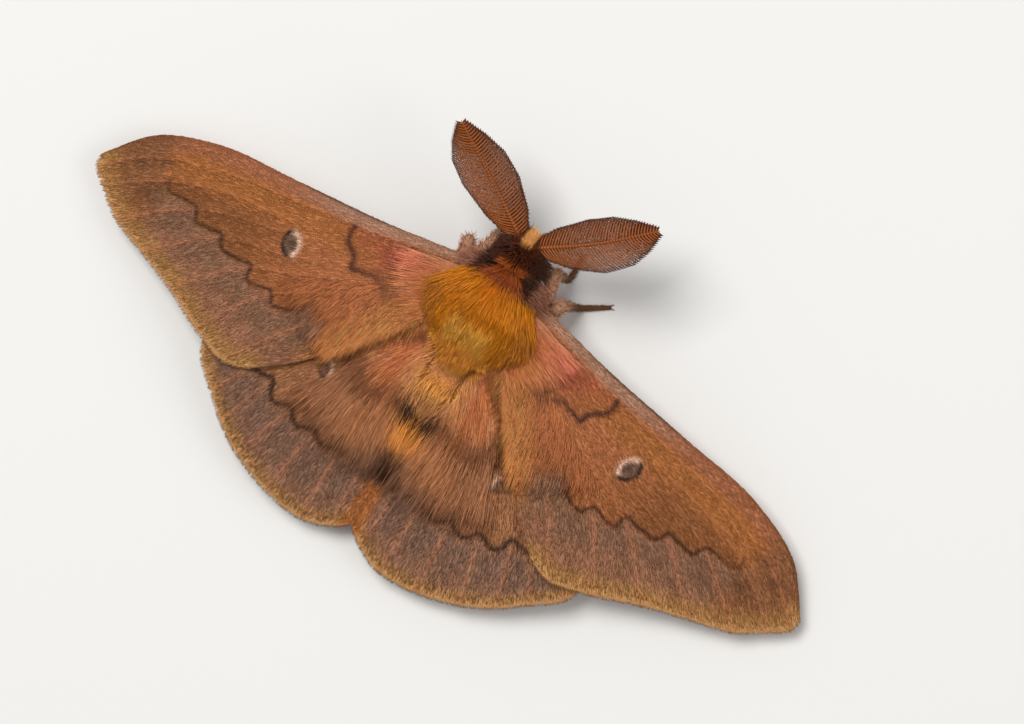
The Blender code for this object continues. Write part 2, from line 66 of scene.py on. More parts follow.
HINGE_Y = 6.48
CAMERA_AWAY = 350.0
CAMERA_SIDE = math.radians(8.24)
CAMERA_ROLL = math.radians(33.61)
FOCAL = 4088.0
FRAME_WIDTH = 1024
SENSOR = 36.0
AIM_RIGHT, AIM_DOWN = 6.0, 63.0


def framed(points):
    """Points of the plan, in millimetres, as points of the frame, in metres."""
    return (np.asarray(points, float) + [0.0, HINGE_Y, 0.0]) * MM


def tone(red, green, blue):
    """Linear light from a colour on the screen's scale."""
    share = np.array([red, green, blue]) / 255.0
    return np.where(share <= 0.04045, share / 12.92, ((share + 0.055) / 1.055) ** 2.4)


back = Vector((math.sin(CAMERA_SIDE), 0.0, math.cos(CAMERA_SIDE)))
level = Vector((math.cos(CAMERA_SIDE), 0.0, -math.sin(CAMERA_SIDE)))
ahead = Vector((0.0, 1.0, 0.0))
picture_right = level * math.cos(CAMERA_ROLL) + ahead * math.sin(CAMERA_ROLL)
picture_up = ahead * math.cos(CAMERA_ROLL) - level * math.sin(CAMERA_ROLL)
look = (picture_right * AIM_RIGHT - picture_up * AIM_DOWN - back * FOCAL).normalized()
right = look.cross(picture_up).normalized()
up = right.cross(look)
camera = bpy.data.objects.new("camera", bpy.data.cameras.new("camera"))
camera.matrix_world = Matrix.Translation(framed(back * CAMERA_AWAY)) @ Matrix(
    (right, up, -look)
).transposed().to_4x4()
camera.data.sensor_width = SENSOR
camera.data.lens = FOCAL * SENSOR / FRAME_WIDTH
camera.data.clip_start = 0.01
bpy.context.scene.collection.objects.link(camera)
bpy.context.scene.camera = camera

floor_mesh = bpy.data.meshes.new("floor")
reach = 2.0
floor_mesh.from_pydata(
    [(-reach, -reach, 0.0), (reach, -reach, 0.0), (reach, reach, 0.0), (-reach, reach, 0.0)],
    [],
    [(0, 1, 2, 3)],
)
floor = bpy.data.objects.new("floor", floor_mesh)
bpy.context.scene.collection.objects.link(floor)
floor_finish = bpy.data.materials.new("floor")
floor_finish.use_nodes = True
shader = floor_finish.node_tree.nodes["Principled BSDF"]
shader.inputs["Base Color"].default_value = (*tone(226, 224, 220), 1.0)
shader.inputs["Roughness"].default_value = 0.9
floor_mesh.materials.append(floor_finish)
floor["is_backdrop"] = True

world = bpy.data.worlds.new("room")
world.use_nodes = True
world.node_tree.nodes["Background"].inputs["Color"].default_value = (0.95, 0.97, 1.0, 1.0)
world.node_tree.nodes["Background"].inputs["Strength"].default_value = 0.39
bpy.context.scene.world = world
for name, across, along, high, size, watts in (
    ("key_lamp", -0.13, 0.21, 0.56, 0.32, 3.3),
    ("fill_lamp", 0.5, -0.15, 0.45, 0.4, 1.0),
):
    lamp = bpy.data.objects.new(name, bpy.data.lights.new(name, "AREA"))
    place = picture_right * across + picture_up * along + Vector((0.0, 0.0, high))
    lamp.matrix_world = Matrix.Translation(place) @ place.to_track_quat("Z", "Y").to_matrix().to_4x4()
    lamp.data.size = size
    lamp.data.energy = watts
    bpy.context.scene.collection.objects.link(lamp)
bpy.context.scene.view_settings.view_transform = "Standard"

# The trunk: head, thorax and abdomen under the hair, one soft-skinned body. Its sections are
# rounded, and it narrows to a neck behind the head and to a point at the tail.
CORE = [
    (5.35, 0.1, 5.4, 5.6),
    (5.2, 0.5, 4.8, 6.1),
    (4.8, 1.0, 4.3, 6.6),
    (4.1, 1.35, 4.0, 7.0),
    (3.3, 1.35, 4.0, 7.0),
    (2.7, 1.2, 4.2, 6.9),
    (1.4, 2.7, 3.1, 7.6),
    (0.0, 3.4, 2.4, 8.0),
    (-2.0, 3.5, 2.1, 8.0),
    (-4.0, 3.1, 2.3, 7.3),
    (-6.1, 2.05, 2.8, 5.8),
    (-7.6, 1.85, 2.1, 5.5),
    (-9.0, 1.75, 1.6, 5.3),
    (-10.2, 1.65, 1.4, 4.8),
    (-11.6, 1.4, 1.2, 3.4),
    (-13.6, 1.0, 1.1, 2.9),
    (-14.7, 0.4, 1.3, 2.4),
    (-15.0, 0.05, 1.7, 1.8),
]
SECTION_POWER = 2.4
CORE_ROWS, CORE_SIDES = 170, 72


def smooth(at, knots, values):
    """A cubic through the values at the knots, whose slope at each knot is its neighbours'."""
    at, knots = np.asarray(at, float), np.asarray(knots, float)
    values = np.asarray(values, float)
    slopes = np.gradient(values, knots, axis=0)
    i = np.clip(np.searchsorted(knots, at) - 1, 0, len(knots) - 2)
    step = (knots[i + 1] - knots[i])[..., None]
    u = ((at - knots[i]) / (knots[i + 1] - knots[i]))[..., None]
    start, end = values[i], values[i + 1]
    return (
        (1 + 2 * u) * (1 - u) ** 2 * start
        + u * (1 - u) ** 2 * step * slopes[i]
        + u**2 * (3 - 2 * u) * end
        + u**2 * (u - 1) * step * slopes[i + 1]
    )


def on_section(stations, y, angle):
    """A point of a rounded section, by the angle up from its right side.

    The section at y is |x / half width| to the power 2.4 plus |height from its middle /
    half height| to the power 2.4, equal to 1.
    """
    table = np.array(stations)[::-1]
    y = np.clip(y, table[0, 0], table[-1, 0])
    half, low, high = np.moveaxis(smooth(y, table[:, 0], table[:, 1:]), -1, 0)
    cosine, sine = np.cos(angle), np.sin(angle)
    out = (np.abs(cosine) ** SECTION_POWER + np.abs(sine) ** SECTION_POWER) ** (
        -1 / SECTION_POWER
    )
    rise = (low + high) / 2 + (high - low) / 2 * out * sine
    return np.stack([half * out * cosine, np.broadcast_to(y, rise.shape), rise], axis=-1)


def unit(vectors):
    """The vectors at a length of 1."""
    return vectors / np.maximum(np.linalg.norm(vectors, axis=-1, keepdims=True), 1e-9)


def lattice(rows, columns, closed):
    """Triangles of a lattice of points, row by row, joined round each row if closed."""
    row, column = np.meshgrid(
        np.arange(rows - 1), np.arange(columns if closed else columns - 1), indexing="ij"
    )
    after = (column + 1) % columns
    a, b = row * columns + column, row * columns + after
    c, d = a + columns, b + columns
    return np.concatenate(
        [np.stack([a, b, d], -1).reshape(-1, 3), np.stack([a, d, c], -1).reshape(-1, 3)]
    )


def tube(rows, sides):
    """Triangles of rings of points joined into a tube, with a fan over each end."""
    corner = np.arange(1, sides - 1)
    last = (rows - 1) * sides
    return np.concatenate([
        lattice(rows, sides, True),
        np.stack([0 * corner, corner + 1, corner], -1),
        np.stack([last + 0 * corner, last + corner, last + corner + 1], -1),
    ])


def made(name, points, triangles, material, carried, bake=None, soft=True):
    """A piece of the moth from points of the plan, with values carried by its points."""
    mesh = bpy.data.meshes.new(name)
    mesh.vertices.add(len(points))
    mesh.vertices.foreach_set("co", framed(points).astype(np.float32).ravel())
    mesh.loops.add(triangles.size)
    mesh.loops.foreach_set("vertex_index", triangles.astype(np.int32).ravel())
    mesh.polygons.add(len(triangles))
    mesh.polygons.foreach_set("loop_start", np.arange(0, triangles.size, 3, dtype=np.int32))
    mesh.update(calc_edges=True)
    for word, values in carried.items():
        kind, part = ("FLOAT_VECTOR", "vector") if values.ndim == 2 else ("FLOAT", "value")
        layer = mesh.attributes.new(word, kind, "POINT")
        layer.data.foreach_set(part, values.astype(np.float32).ravel())
    if bake is not None:
        layer = mesh.uv_layers.new(name="OFBake")
        layer.uv.foreach_set("vector", bake[triangles.ravel()].astype(np.float32).ravel())
    if soft:
        mesh.shade_smooth()
    mesh.materials.append(material)
    obj = bpy.data.objects.new(name, mesh)
    bpy.context.scene.collection.objects.link(obj)
    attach(obj, "root")
    return obj


def joined(tree, node, **inputs):
    """Sets or links a node's inputs, by name or as n and a number, and gives the node back."""
    for word, value in inputs.items():
        numbered = word[0] == "n" and word[1:].isdigit()
        socket = node.inputs[int(word[1:]) if numbered else word]
        if isinstance(value, bpy.types.NodeSocket):
            tree.links.new(value, socket)
        else:
            socket.default_value = value
    return node


MOTTLE_FINENESS, MOTTLE_DEPTH = 9000.0, 0.00006


def grain_group():
    """The look that all hair and scales share, from the tone that a strand carries.

    A strand is darker at its root and lighter at its tip, no two are quite alike, and a
    fine mottling runs over all of them. None gives back more light than falls on it.
    """
    group = bpy.data.node_groups.new("coat_grain", "ShaderNodeTree")
    for word, way, kind in (
        ("Root shade", "INPUT", "NodeSocketFloat"),
        ("Tip shade", "INPUT", "NodeSocketFloat"),
        ("Variety", "INPUT", "NodeSocketFloat"),
        ("Mottle", "INPUT", "NodeSocketFloat"),
        ("Colour", "OUTPUT", "NodeSocketColor"),
        ("Height", "OUTPUT", "NodeSocketFloat"),
    ):
        group.interface.new_socket(word, in_out=way, socket_type=kind)
    new = group.nodes.new
    given, out = new("NodeGroupInput"), new("NodeGroupOutput")
    tint, tip, chance = (new("ShaderNodeAttribute") for _ in range(3))
    tint.attribute_name, tip.attribute_name, chance.attribute_name = "tint", "tip", "chance"
    place = new("ShaderNodeTexCoord").outputs["Object"]
    noise = joined(group, new("ShaderNodeTexNoise"), Vector=place, Scale=MOTTLE_FINENESS, Detail=2.0)
    shade = joined(
        group,
        new("ShaderNodeMapRange"),
        Value=tip.outputs["Fac"],
        n3=given.outputs["Root shade"],
        n4=given.outputs["Tip shade"],
    )

    def swing(value, amount):
        """1 plus the amount times how far the value is from its middle."""
        away = joined(group, new("ShaderNodeMath"), n0=value, n1=0.5)
        away.operation = "SUBTRACT"
        more = joined(group, new("ShaderNodeMath"), n0=away.outputs[0], n1=amount, n2=1.0)
        more.operation = "MULTIPLY_ADD"
        return more.outputs[0]

    strength = shade.outputs[0]
    for source, amount in ((chance, "Variety"), (noise, "Mottle")):
        swung = swing(source.outputs["Fac"], given.outputs[amount])
        both = joined(group, new("ShaderNodeMath"), n0=swung, n1=strength)
        both.operation = "MULTIPLY"
        strength = both.outputs[0]
    final = new("ShaderNodeVectorMath")
    final.operation = "SCALE"
    joined(group, final, n0=tint.outputs["Vector"], Scale=strength)
    capped = joined(group, new("ShaderNodeVectorMath"), n0=final.outputs[0], n1=(1.0, 1.0, 1.0))
    capped.operation = "MINIMUM"
    group.links.new(capped.outputs[0], out.inputs["Colour"])
    group.links.new(noise.outputs["Fac"], out.inputs["Height"])
    return group


GRAIN = grain_group()


def coat_finish(name, rough, root_shade, tip_shade, variety, mottle, relief):
    """A finish of hair or scales: the shared grain with this piece's own values."""
    material = bpy.data.materials.new(name)
    material.use_nodes = True
    tree = material.node_tree
    finish = tree.nodes["Principled BSDF"]
    grain = tree.nodes.new("ShaderNodeGroup")
    grain.node_tree = GRAIN
    for word, value in (
        ("Root shade", root_shade), ("Tip shade", tip_shade), ("Variety", variety), ("Mottle", mottle)
    ):
        grain.inputs[word].default_value = value
    bump = tree.nodes.new("ShaderNodeBump")
    bump.inputs["Strength"].default_value = relief
    bump.inputs["Distance"].default_value = MOTTLE_DEPTH
    tree.links.new(grain.outputs["Height"], bump.inputs["Height"])
    tree.links.new(bump.outputs["Normal"], finish.inputs["Normal"])
    tree.links.new(grain.outputs["Colour"], finish.inputs["Base Color"])
    finish.inputs["Roughness"].default_value = rough
    finish.inputs["Specular IOR Level"].default_value = 0.25
    return material


def ease(value, start, end):
    """0 before start, 1 after end, and a smooth step between them."""
    share = np.clip((value - start) / (end - start), 0.0, 1.0)
    return share * share * (3.0 - 2.0 * share)


def laid(under, colour, share):
    """A colour laid over another by a share for each point."""
    return under + (colour - under) * np.asarray(share)[..., None]


def painted(colour, *layers):
    """The colour under layers of other tones, each laid on by its own share."""
    for screen, share in layers:
        colour = laid(colour, tone(*screen), share)
    return colour


def spot(x, y, x0, y0, wide, tall):
    """A soft round mark: 1 at its middle, fading with the square of the distance."""
    return np.exp(-(((x - x0) / wide) ** 2) - ((y - y0) / tall) ** 2)


def body_tone(points):
    """The trunk's colour: golden thorax, peach abdomen, dark collar, brown head, tan brow."""
    x, y, z = np.abs(points[..., 0]), points[..., 1], points[..., 2]
    return painted(
        np.broadcast_to(tone(216, 136, 22), points.shape),
        ((218, 130, 20), (1 - ease(x, 0.3, 1.1)) * ease(y, -2.5, -0.5)),
        ((240, 178, 74), ease(-y, 2.8, 4.0) * (1 - ease(-y, 5.0, 6.5)) * (1 - ease(x, 1.5, 2.8))),
        ((232, 158, 62), ease(-y, 5.0, 6.0)),
        ((200, 124, 36), ease(x, 2.6, 4.2) * ease(-y, 0.5, 2.5)),
        ((248, 176, 110), ease(-y, 7.0, 8.0)),
        ((253, 184, 96), ease(-y, 8.2, 9.2)),
        ((214, 142, 74), ease(x, 0.5, 1.4) * ease(-y, 7.2, 8.2) * 0.6),
        ((222, 158, 96), ease(-y, 10.0, 11.0)),
        ((158, 80, 42), ease(y, 1.0, 1.5) * (1 - ease(x, 1.0, 1.8))),
        ((160, 82, 26), ease(y, 2.0, 2.5)),
        ((66, 36, 20), ease(y, 1.3, 1.9) * ease(x, 1.3, 2.0)),
        ((92, 42, 18), ease(y, 2.7, 3.1)),
        ((56, 30, 20), ease(y, 2.7, 3.1) * ease(x, 0.8, 1.3) * (1 - ease(y, 4.2, 4.6)) * 0.7),
        ((222, 160, 90), ease(y, 4.4, 4.7) * (1 - ease(x, 0.3, 0.7)) * ease(z, 5.3, 6.1)),
    )


ys = np.linspace(CORE[0][0], CORE[-1][0], CORE_ROWS)
turns = np.arange(CORE_SIDES) * 2 * math.pi / CORE_SIDES
core_points = on_section(CORE, ys[:, None], turns[None, :]).reshape(-1, 3)
skin_finish = coat_finish("under_fur", 0.8, 0.8, 0.8, 0.3, 0.5, 0.6)
carried = {
    "tint": body_tone(core_points),
    "tip": np.zeros(len(core_points)),
    "chance": np.full(len(core_points), 0.5),
}
trunk = made(
    "body_skin", core_points, tube(CORE_ROWS, CORE_SIDES), skin_finish, carried
)
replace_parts(trunk, "head", "thorax", "abdomen")

# The wings: thin membranes stiffened by veins, with the front pair lying over the rear one.
# Each is a double skin on the veins, drawn across them from the front edge to the inner
# edge, raised along each vein and let down a little between two of them.
FORE_VEINS = [
    [(3.9, 1.6), (12.0, -0.35), (20.0, -1.45), (28.0, -2.7), (33.0, -5.0), (36.1, -8.7)],
    [(3.9, 0.7), (12.0, -1.5), (20.0, -3.1), (27.0, -4.6), (32.5, -6.9), (35.9, -9.9)],
    [(3.9, 0.1), (12.0, -2.4), (18.5, -4.5), (24.5, -5.6), (29.6, -7.6), (34.5, -11.0)],
    [(3.9, -0.5), (11.0, -3.4), (18.0, -5.6), (26.3, -8.3), (31.8, -12.8)],
    [(3.9, -1.1), (10.5, -4.3), (17.0, -7.2), (23.0, -9.2), (28.2, -13.9)],
    [(3.9, -1.7), (9.5, -5.0), (15.2, -8.0), (19.4, -10.0), (24.4, -15.1)],
    [(3.9, -2.3), (8.6, -5.6), (12.7, -8.2), (16.7, -11.0), (20.4, -16.7)],
    [(3.9, -2.9), (7.6, -6.4), (12.2, -11.0), (16.9, -17.7)],
    [(3.9, -3.5), (7.0, -8.8), (11.0, -14.0), (14.6, -17.1)],
]
HIND_VEINS = [
    [(3.8, -3.7), (10.0, -6.2), (16.0, -10.4), (19.7, -16.0)],
    [(3.7, -4.1), (9.2, -8.6), (14.9, -14.2), (18.7, -18.4)],
    [(3.6, -4.5), (8.4, -9.4), (13.4, -15.0), (16.4, -20.4)],
    [(3.5, -4.9), (7.8, -10.4), (12.2, -16.4), (14.2, -22.2)],
    [(3.4, -5.3), (6.8, -11.0), (9.6, -17.6), (11.5, -23.7)],
    [(3.3, -5.7), (5.6, -11.4), (7.0, -18.2), (7.8, -24.9)],
    [(3.1, -6.1), (4.0, -12.0), (4.2, -18.6), (4.1, -25.2)],
    [(2.9, -6.5), (2.3, -12.2), (1.8, -18.5), (1.6, -24.3)],
    [(2.6, -7.0), (1.9, -9.4), (0.5, -11.8), (0.03, -15.0), (0.03, -23.2)],
]
FORE_STARTS = [0.0, 0.0, 0.42, 0.42, 0.42, 0.36, 0.26, 0.0, 0.0]
HIND_STARTS = [0.0, 0.0, 0.4, 0.4, 0.4, 0.34, 0.28, 0.0, 0.0]
SIDES = (("left", -1.0), ("right", 1.0))
FORE_ROWS, FORE_STRIPS, FORE_HANG = 150, 12, 0.32
HIND_ROWS, HIND_STRIPS, HIND_HANG = 110, 10, 0.0
FORE_HINGE_Z, FORE_FALL, FORE_TILT = 6.3, 0.14, 0.02
HIND_HINGE_Z, HIND_FALL = 5.55, 0.16
WING_GAP = 0.7
SKIN_HALF = 0.12
VEIN_RISE, VEIN_REACH = 0.09, 0.13
SAG = 0.07
OFF_VEIN = 9.0


def fore_height(x, y):
    """Height of a front wing: it falls outward from its hinge, and a little rearward."""
    return FORE_HINGE_Z - FORE_FALL * (np.abs(x) - 4.0) + FORE_TILT * y


def hind_height(x, y):
    """Height of a rear wing: it falls rearward, and is kept a gap under the front wing.

    The lower of the two is taken, with a rounded change from one to the other.
    """
    own = HIND_HINGE_Z - HIND_FALL * np.maximum(-4.0 - y, 0.0)
    under = fore_height(x, y) - WING_GAP
    return -0.2 * np.logaddexp(-own / 0.2, -under / 0.2)


def smooth_line(points, shares):
    """Points at the given shares of the length of a smooth line through the points."""
    points = np.asarray(points, float)
    chords = np.linalg.norm(np.diff(points, axis=0), axis=1)
    knots = np.concatenate([[0.0], np.cumsum(chords)])
    fine = np.linspace(0.0, knots[-1], 200)
    line = smooth(fine, knots, points)
    lengths = np.concatenate([[0.0], np.cumsum(np.linalg.norm(np.diff(line, axis=0), axis=1))])
    return smooth(np.interp(np.asarray(shares) * lengths[-1], lengths, fine), knots, points)


def beside(y, z):
    """How far out the trunk's skin reaches at y and height z."""
    table = np.array(CORE)[::-1]
    half, low, high = smooth(y, table[:, 0], table[:, 1:])
    share = min(abs(z - (low + high) / 2) / ((high - low) / 2), 1.0)
    return half * (1.0 - share**SECTION_POWER) ** (1 / SECTION_POWER)


def wing_surface(veins, starts, height, strips, rows, hang):
    """The two skins of a right wing, and how far each point is from the nearest vein.

    Lines along the veins are joined across them by cubics. The skins lie a half thickness
    over and under the middle, plus a ridge that falls with the square of the distance from
    a vein, less a sag that is greatest midway between two veins. The inner edge hangs lower.
    """
    lines = [
        [(beside(y, float(height(x, y))) - 0.1, y), *rest] for (x, y), *rest in veins
    ]
    shares = np.linspace(0.0, 1.0, rows + 1)
    last = len(veins) - 1
    columns = np.linspace(0.0, last, last * strips + 1)
    along = np.stack([smooth_line(line, shares) for line in lines])
    plan = smooth(columns, np.arange(last + 1.0), along.reshape(last + 1, -1))
    plan = plan.reshape(len(columns), rows + 1, 2)
    middle = height(plan[..., 0], plan[..., 1])
    wide = np.linalg.norm(np.gradient(plan, columns, axis=0), axis=-1)
    middle = middle - hang * (1 - ease((last - columns)[:, None] * wide, 0.0, 2.8))
    near = np.clip(np.round(columns), 1, last - 1)
    vein = np.abs(columns - near)[:, None] * wide
    grown = ease(shares[None, :], np.array(starts)[near.astype(int)][:, None], 1.0)
    grown = np.clip(grown * 12.0, 0.0, 1.0)
    ridge = np.exp(-((vein / VEIN_REACH) ** 2)) * grown
    long = np.linalg.norm(np.diff(plan, axis=1), axis=-1).sum(1)[:, None]
    rim = np.minimum(columns[:, None], last - columns[:, None]) * wide
    rim = np.minimum(rim, (1.0 - shares) * long)
    half = SKIN_HALF * (0.3 + 0.7 * ease(rim, 0.0, 0.9))
    sag = SAG * np.sin(math.pi * columns)[:, None] ** 2 * ease(shares, 0.2, 0.8)
    top = np.dstack([plan, middle + half + VEIN_RISE * ridge - sag])
    bottom = np.dstack([plan, middle - half - 0.5 * VEIN_RISE * ridge - sag])
    return {"top": top, "bottom": bottom, "vein": np.where(grown > 0, vein, OFF_VEIN), "rim": rim}


def line_distance(x, y, line):
    """How far points are from the nearest stretch of a bent line."""
    nearest = np.full(np.shape(x), 1e9)
    for (x0, y0), (x1, y1) in zip(line, line[1:]):
        dx, dy = x1 - x0, y1 - y0
        share = np.clip(((x - x0) * dx + (y - y0) * dy) / (dx * dx + dy * dy), 0.0, 1.0)
        nearest = np.minimum(nearest, np.hypot(x - x0 - share * dx, y - y0 - share * dy))
    return nearest


def bent(line):
    """A smooth line through the points, as many short stretches."""
    return smooth_line(line, np.linspace(0.0, 1.0, 8 * len(line)))


FORE_LINE = [
    (9.6, -10.85), (10.5, -10.8), (11.3, -10.85), (12.1, -10.7), (12.9, -10.2), (13.6, -10.5),
    (14.4, -11.0), (15.2, -11.35), (16.0, -11.4), (16.3, -10.9), (16.7, -10.5), (17.5, -10.7),
    (18.3, -10.95), (18.95, -10.9), (19.2, -10.2), (19.4, -9.6), (20.3, -9.8), (21.5, -9.9),
    (22.3, -9.95), (22.8, -9.5), (23.0, -8.9), (24.2, -9.05), (25.2, -9.2), (25.7, -9.2),
    (26.0, -8.6), (26.35, -8.15), (27.3, -8.1), (28.4, -8.25), (29.2, -8.2), (29.6, -7.9),
    (29.5, -7.2),
]
FORE_BAND = [
    (13.5, -2.05), (13.45, -2.7), (13.2, -3.4), (12.6, -3.8), (12.1, -4.2), (11.95, -4.7),
    (11.8, -5.05), (11.0, -4.9), (10.2, -4.7), (9.6, -4.5), (9.0, -4.9), (8.5, -5.5),
    (7.8, -5.75), (7.2, -5.5),
]


def fade(distance, width):
    """1 on a line, fading with the square of the distance from it."""
    return np.exp(-((distance / width) ** 2))


def eye_mark(colour, x, y, x0, y0, long, short, turn):
    """An eye mark: an oval with a pale crescent towards the body and a dark one away from it.

    Its radius is 1 on an oval with the two half lengths, turned by an angle, and the side is
    the share of the way from the body's edge to the far edge.
    """
    cosine, sine = math.cos(turn), math.sin(turn)
    u = ((x - x0) * cosine + (y - y0) * sine) / long
    v = ((x - x0) * sine - (y - y0) * cosine) / short
    radius = np.hypot(u, v)
    far = ease(v, -0.35, 0.35)
    return painted(
        colour,
        ((116, 84, 66), 1.0 - ease(radius, 0.95, 1.1)),
        ((74, 50, 42), fade(np.hypot(u, v + 0.05), 0.28) * 0.6),
        ((228, 182, 156), fade(radius - 0.82, 0.24) * (1 - far)),
        ((66, 46, 38), fade(radius - 0.46, 0.12) * (1 - far) * 0.6),
        ((36, 20, 14), fade(radius - 0.88, 0.15) * far),
    )


FORE_CLOUDS = [
    (31.0, -6.3, 1.1, 0.55, 0.6), (32.8, -7.4, 1.0, 0.6, 0.5), (30.4, -9.3, 0.9, 0.9, 0.45),
    (27.4, -10.4, 1.0, 0.9, 0.25), (23.6, -11.7, 1.0, 0.8, 0.12), (8.0, -5.2, 1.2, 0.5, 0.3),
]
FORE_EDGE, HIND_EDGE = ([line[-1] for line in veins] for veins in (FORE_VEINS, HIND_VEINS))


def fore_tone(x, y, vein):
    """A front wing's colours at points of its plan, from its edges, veins and lines."""
    front = np.interp(x, *zip(*FORE_VEINS[0])) - y
    zig = bent(FORE_LINE)
    zone_line = np.array([(4.0, -9.6), *zig[:-12], (29.8, -7.8), (31.0, -6.0), (33.5, -3.0)])
    zone = np.interp(x, zone_line[:, 0], zone_line[:, 1]) - y
    margin = line_distance(x, y, FORE_EDGE)
    inner = line_distance(x, y, FORE_VEINS[-1])
    colour = painted(
        np.broadcast_to(tone(164, 99, 58), (*np.shape(x), 3)),
        ((184, 112, 70), spot(x, y, 12.5, -5.2, 6.0, 2.6) * 0.7),
        ((136, 83, 44), ease(x, 17.0, 22.0) * ease(front, 2.5, 5.0) * 0.8),
        ((172, 106, 52), ease(front, 1.1, 2.0) * (1 - ease(front, 3.0, 4.6)) * ease(x, 8.0, 12.0) * 0.7),
        ((168, 84, 60), spot(x, y, 8.0, -2.2, 4.4, 1.5) * 0.9),
    )
    strip = laid(tone(172, 126, 102), tone(170, 105, 72), ease(x, 14.0, 22.0))
    colour = laid(colour, strip, (1 - ease(front, 0.7, 1.6)) * (1 - 0.3 * ease(x, 22.0, 30.0)))
    fades = 1.0 - 0.8 * ease(x, 28.0, 31.0)
    grey = ease(zone, 0.1, 0.9) * (1 - ease(zone, 2.2, 4.0)) * (0.35 + 0.65 * ease(vein, 0.2, 0.9))
    sharp = ease(x, 11.5, 13.5)
    line = fade(line_distance(x, y, zig), 0.36 - 0.17 * sharp) * (0.35 + 0.65 * sharp)
    band = fade(line_distance(x, y, bent(FORE_BAND)), 0.3 + 0.25 * (1 - ease(x, 8.5, 11.0)))
    colour = painted(
        colour,
        ((96, 68, 54), (1 - ease(front, 0.05, 0.3)) * (1 - ease(x, 17.0, 21.0)) * 0.7),
        ((152, 104, 78), ease(zone, 0.0, 0.5) * 0.9 * fades),
        ((130, 94, 71), grey * 0.75 * fades),
        ((136, 88, 54), ease(x, 29.5, 32.5) * 0.8),
        *[((100, 62, 46), spot(x, y, *place) * share) for *place, share in FORE_CLOUDS],
        ((172, 122, 68), 1 - ease(margin, 0.2, 2.3)),
        ((206, 152, 100), (1 - ease(margin, 0.05, 0.7)) * 0.65),
        ((180, 110, 76), fade(vein, 0.12) * (0.13 + 0.25 * ease(zone, -0.3, 0.3))),
        ((184, 116, 62), (1 - ease(inner, 0.6, 2.4)) * (1 - ease(x, 9.8, 12.8)) * 0.9),
        ((50, 29, 20), line * (1 - 0.35 * ease(x, 26.0, 29.5)) * 0.85),
        ((72, 38, 28), band * (0.5 + 0.42 * ease(x, 9.0, 12.0))),
    )
    return eye_mark(colour, x, y, 17.4, -6.2, 1.2, 0.88, math.radians(65.0))


HIND_LINE = [
    (18.0, -15.6), (16.0, -16.6), (14.8, -17.0), (14.0, -16.8), (13.1, -16.8), (12.45, -16.6),
    (12.1, -17.2), (11.9, -17.85), (11.35, -18.25), (10.5, -18.0), (9.7, -17.8), (9.3, -18.3),
    (8.6, -18.85), (7.8, -18.6), (7.05, -18.25), (6.5, -18.6), (5.8, -19.0), (5.0, -18.7),
    (4.2, -18.5), (2.5, -18.3), (1.2, -18.0), (0.2, -17.6),
]
HIND_BAND = [(7.5, -10.7), (6.9, -12.3), (6.0, -13.4), (4.5, -13.4), (3.0, -13.0), (1.2, -12.8)]
HIND_EYE = (9.05, -13.3)


def hind_tone(x, y, vein):
    """A rear wing's colours at points of its plan, from its edges, veins and lines."""
    zig = bent(HIND_LINE)[::-1]
    zone = np.interp(x, zig[:, 0], zig[:, 1]) - y
    margin = line_distance(x, y, HIND_EDGE)
    grey = ease(zone, 0.3, 1.2) * (1 - ease(zone, 3.0, 5.0)) * (0.4 + 0.6 * ease(vein, 0.2, 0.9))
    sharp = ease(x, 3.0, 5.5)
    colour = painted(
        np.broadcast_to(tone(166, 111, 74), (*np.shape(x), 3)),
        ((178, 110, 60), (1 - ease(-y, 8.0, 13.5)) * 0.9),
        ((170, 94, 50), spot(x, y, 4.0, -9.5, 1.2, 3.5) * 0.5),
        ((150, 106, 82), ease(zone, 0.0, 0.6) * 0.9),
        ((126, 94, 78), grey * 0.7),
        ((170, 121, 70), 1 - ease(margin, 0.2, 1.5)),
        ((206, 152, 100), (1 - ease(margin, 0.05, 0.7)) * 0.65),
        ((186, 114, 50), spot(x, y, 0.0, -14.8, 1.3, 1.7) * 0.9),
        ((184, 108, 52), (1 - ease(x, 0.4, 1.5)) * ease(-y, 18.5, 19.5) * 0.85),
        ((184, 114, 78), fade(vein, 0.12) * (0.08 + 0.26 * ease(zone, -0.3, 0.4))),
        ((96, 56, 34), fade(line_distance(x, y, bent(HIND_BAND)), 0.75) * 0.55),
        ((52, 34, 26), fade(line_distance(x, y, zig), 0.5 - 0.26 * sharp) * (0.52 + 0.45 * sharp)),
        ((44, 26, 14), spot(x, y, 1.0, -12.9, 0.9, 0.6) * 0.8),
        ((44, 26, 14), spot(x, y, 0.3, -17.7, 0.9, 0.8) * 0.9),
    )
    return laid(colour, eye_mark(colour, x, y, *HIND_EYE, 0.95, 0.7, math.radians(55.0)), 0.72)


def wing_skin(name, side, surface, tints, material, node):
    """A wing's two skins, closed along their rim."""
    far, wide = surface["top"].shape[:2]
    under = far * wide
    flip = [side, 1.0, 1.0]
    points = np.concatenate([surface["top"].reshape(-1, 3), surface["bottom"].reshape(-1, 3)]) * flip
    upper = lattice(far, wide, False)[:, ::-1]
    rim = np.concatenate([
        np.arange(wide), np.arange(1, far) * wide + wide - 1,
        (far - 1) * wide + np.arange(wide - 2, -1, -1), np.arange(far - 2, 0, -1) * wide,
    ])
    after = np.roll(rim, -1)
    triangles = np.concatenate([
        upper, upper[:, ::-1] + under, np.stack([rim, after, after + under], -1),
        np.stack([rim, after + under, rim + under], -1),
    ])
    if side < 0:
        triangles = triangles[:, ::-1]
    tints = np.concatenate([tints, laid(tints, tone(168, 124, 94), 0.45)]).reshape(-1, 3)
    carried = {"tint": tints, "tip": np.full(len(points), 0.3), "chance": np.full(len(points), 0.5)}
    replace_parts(made(name, points, triangles, material, carried), node)


BAKE_PATCH = 0.003


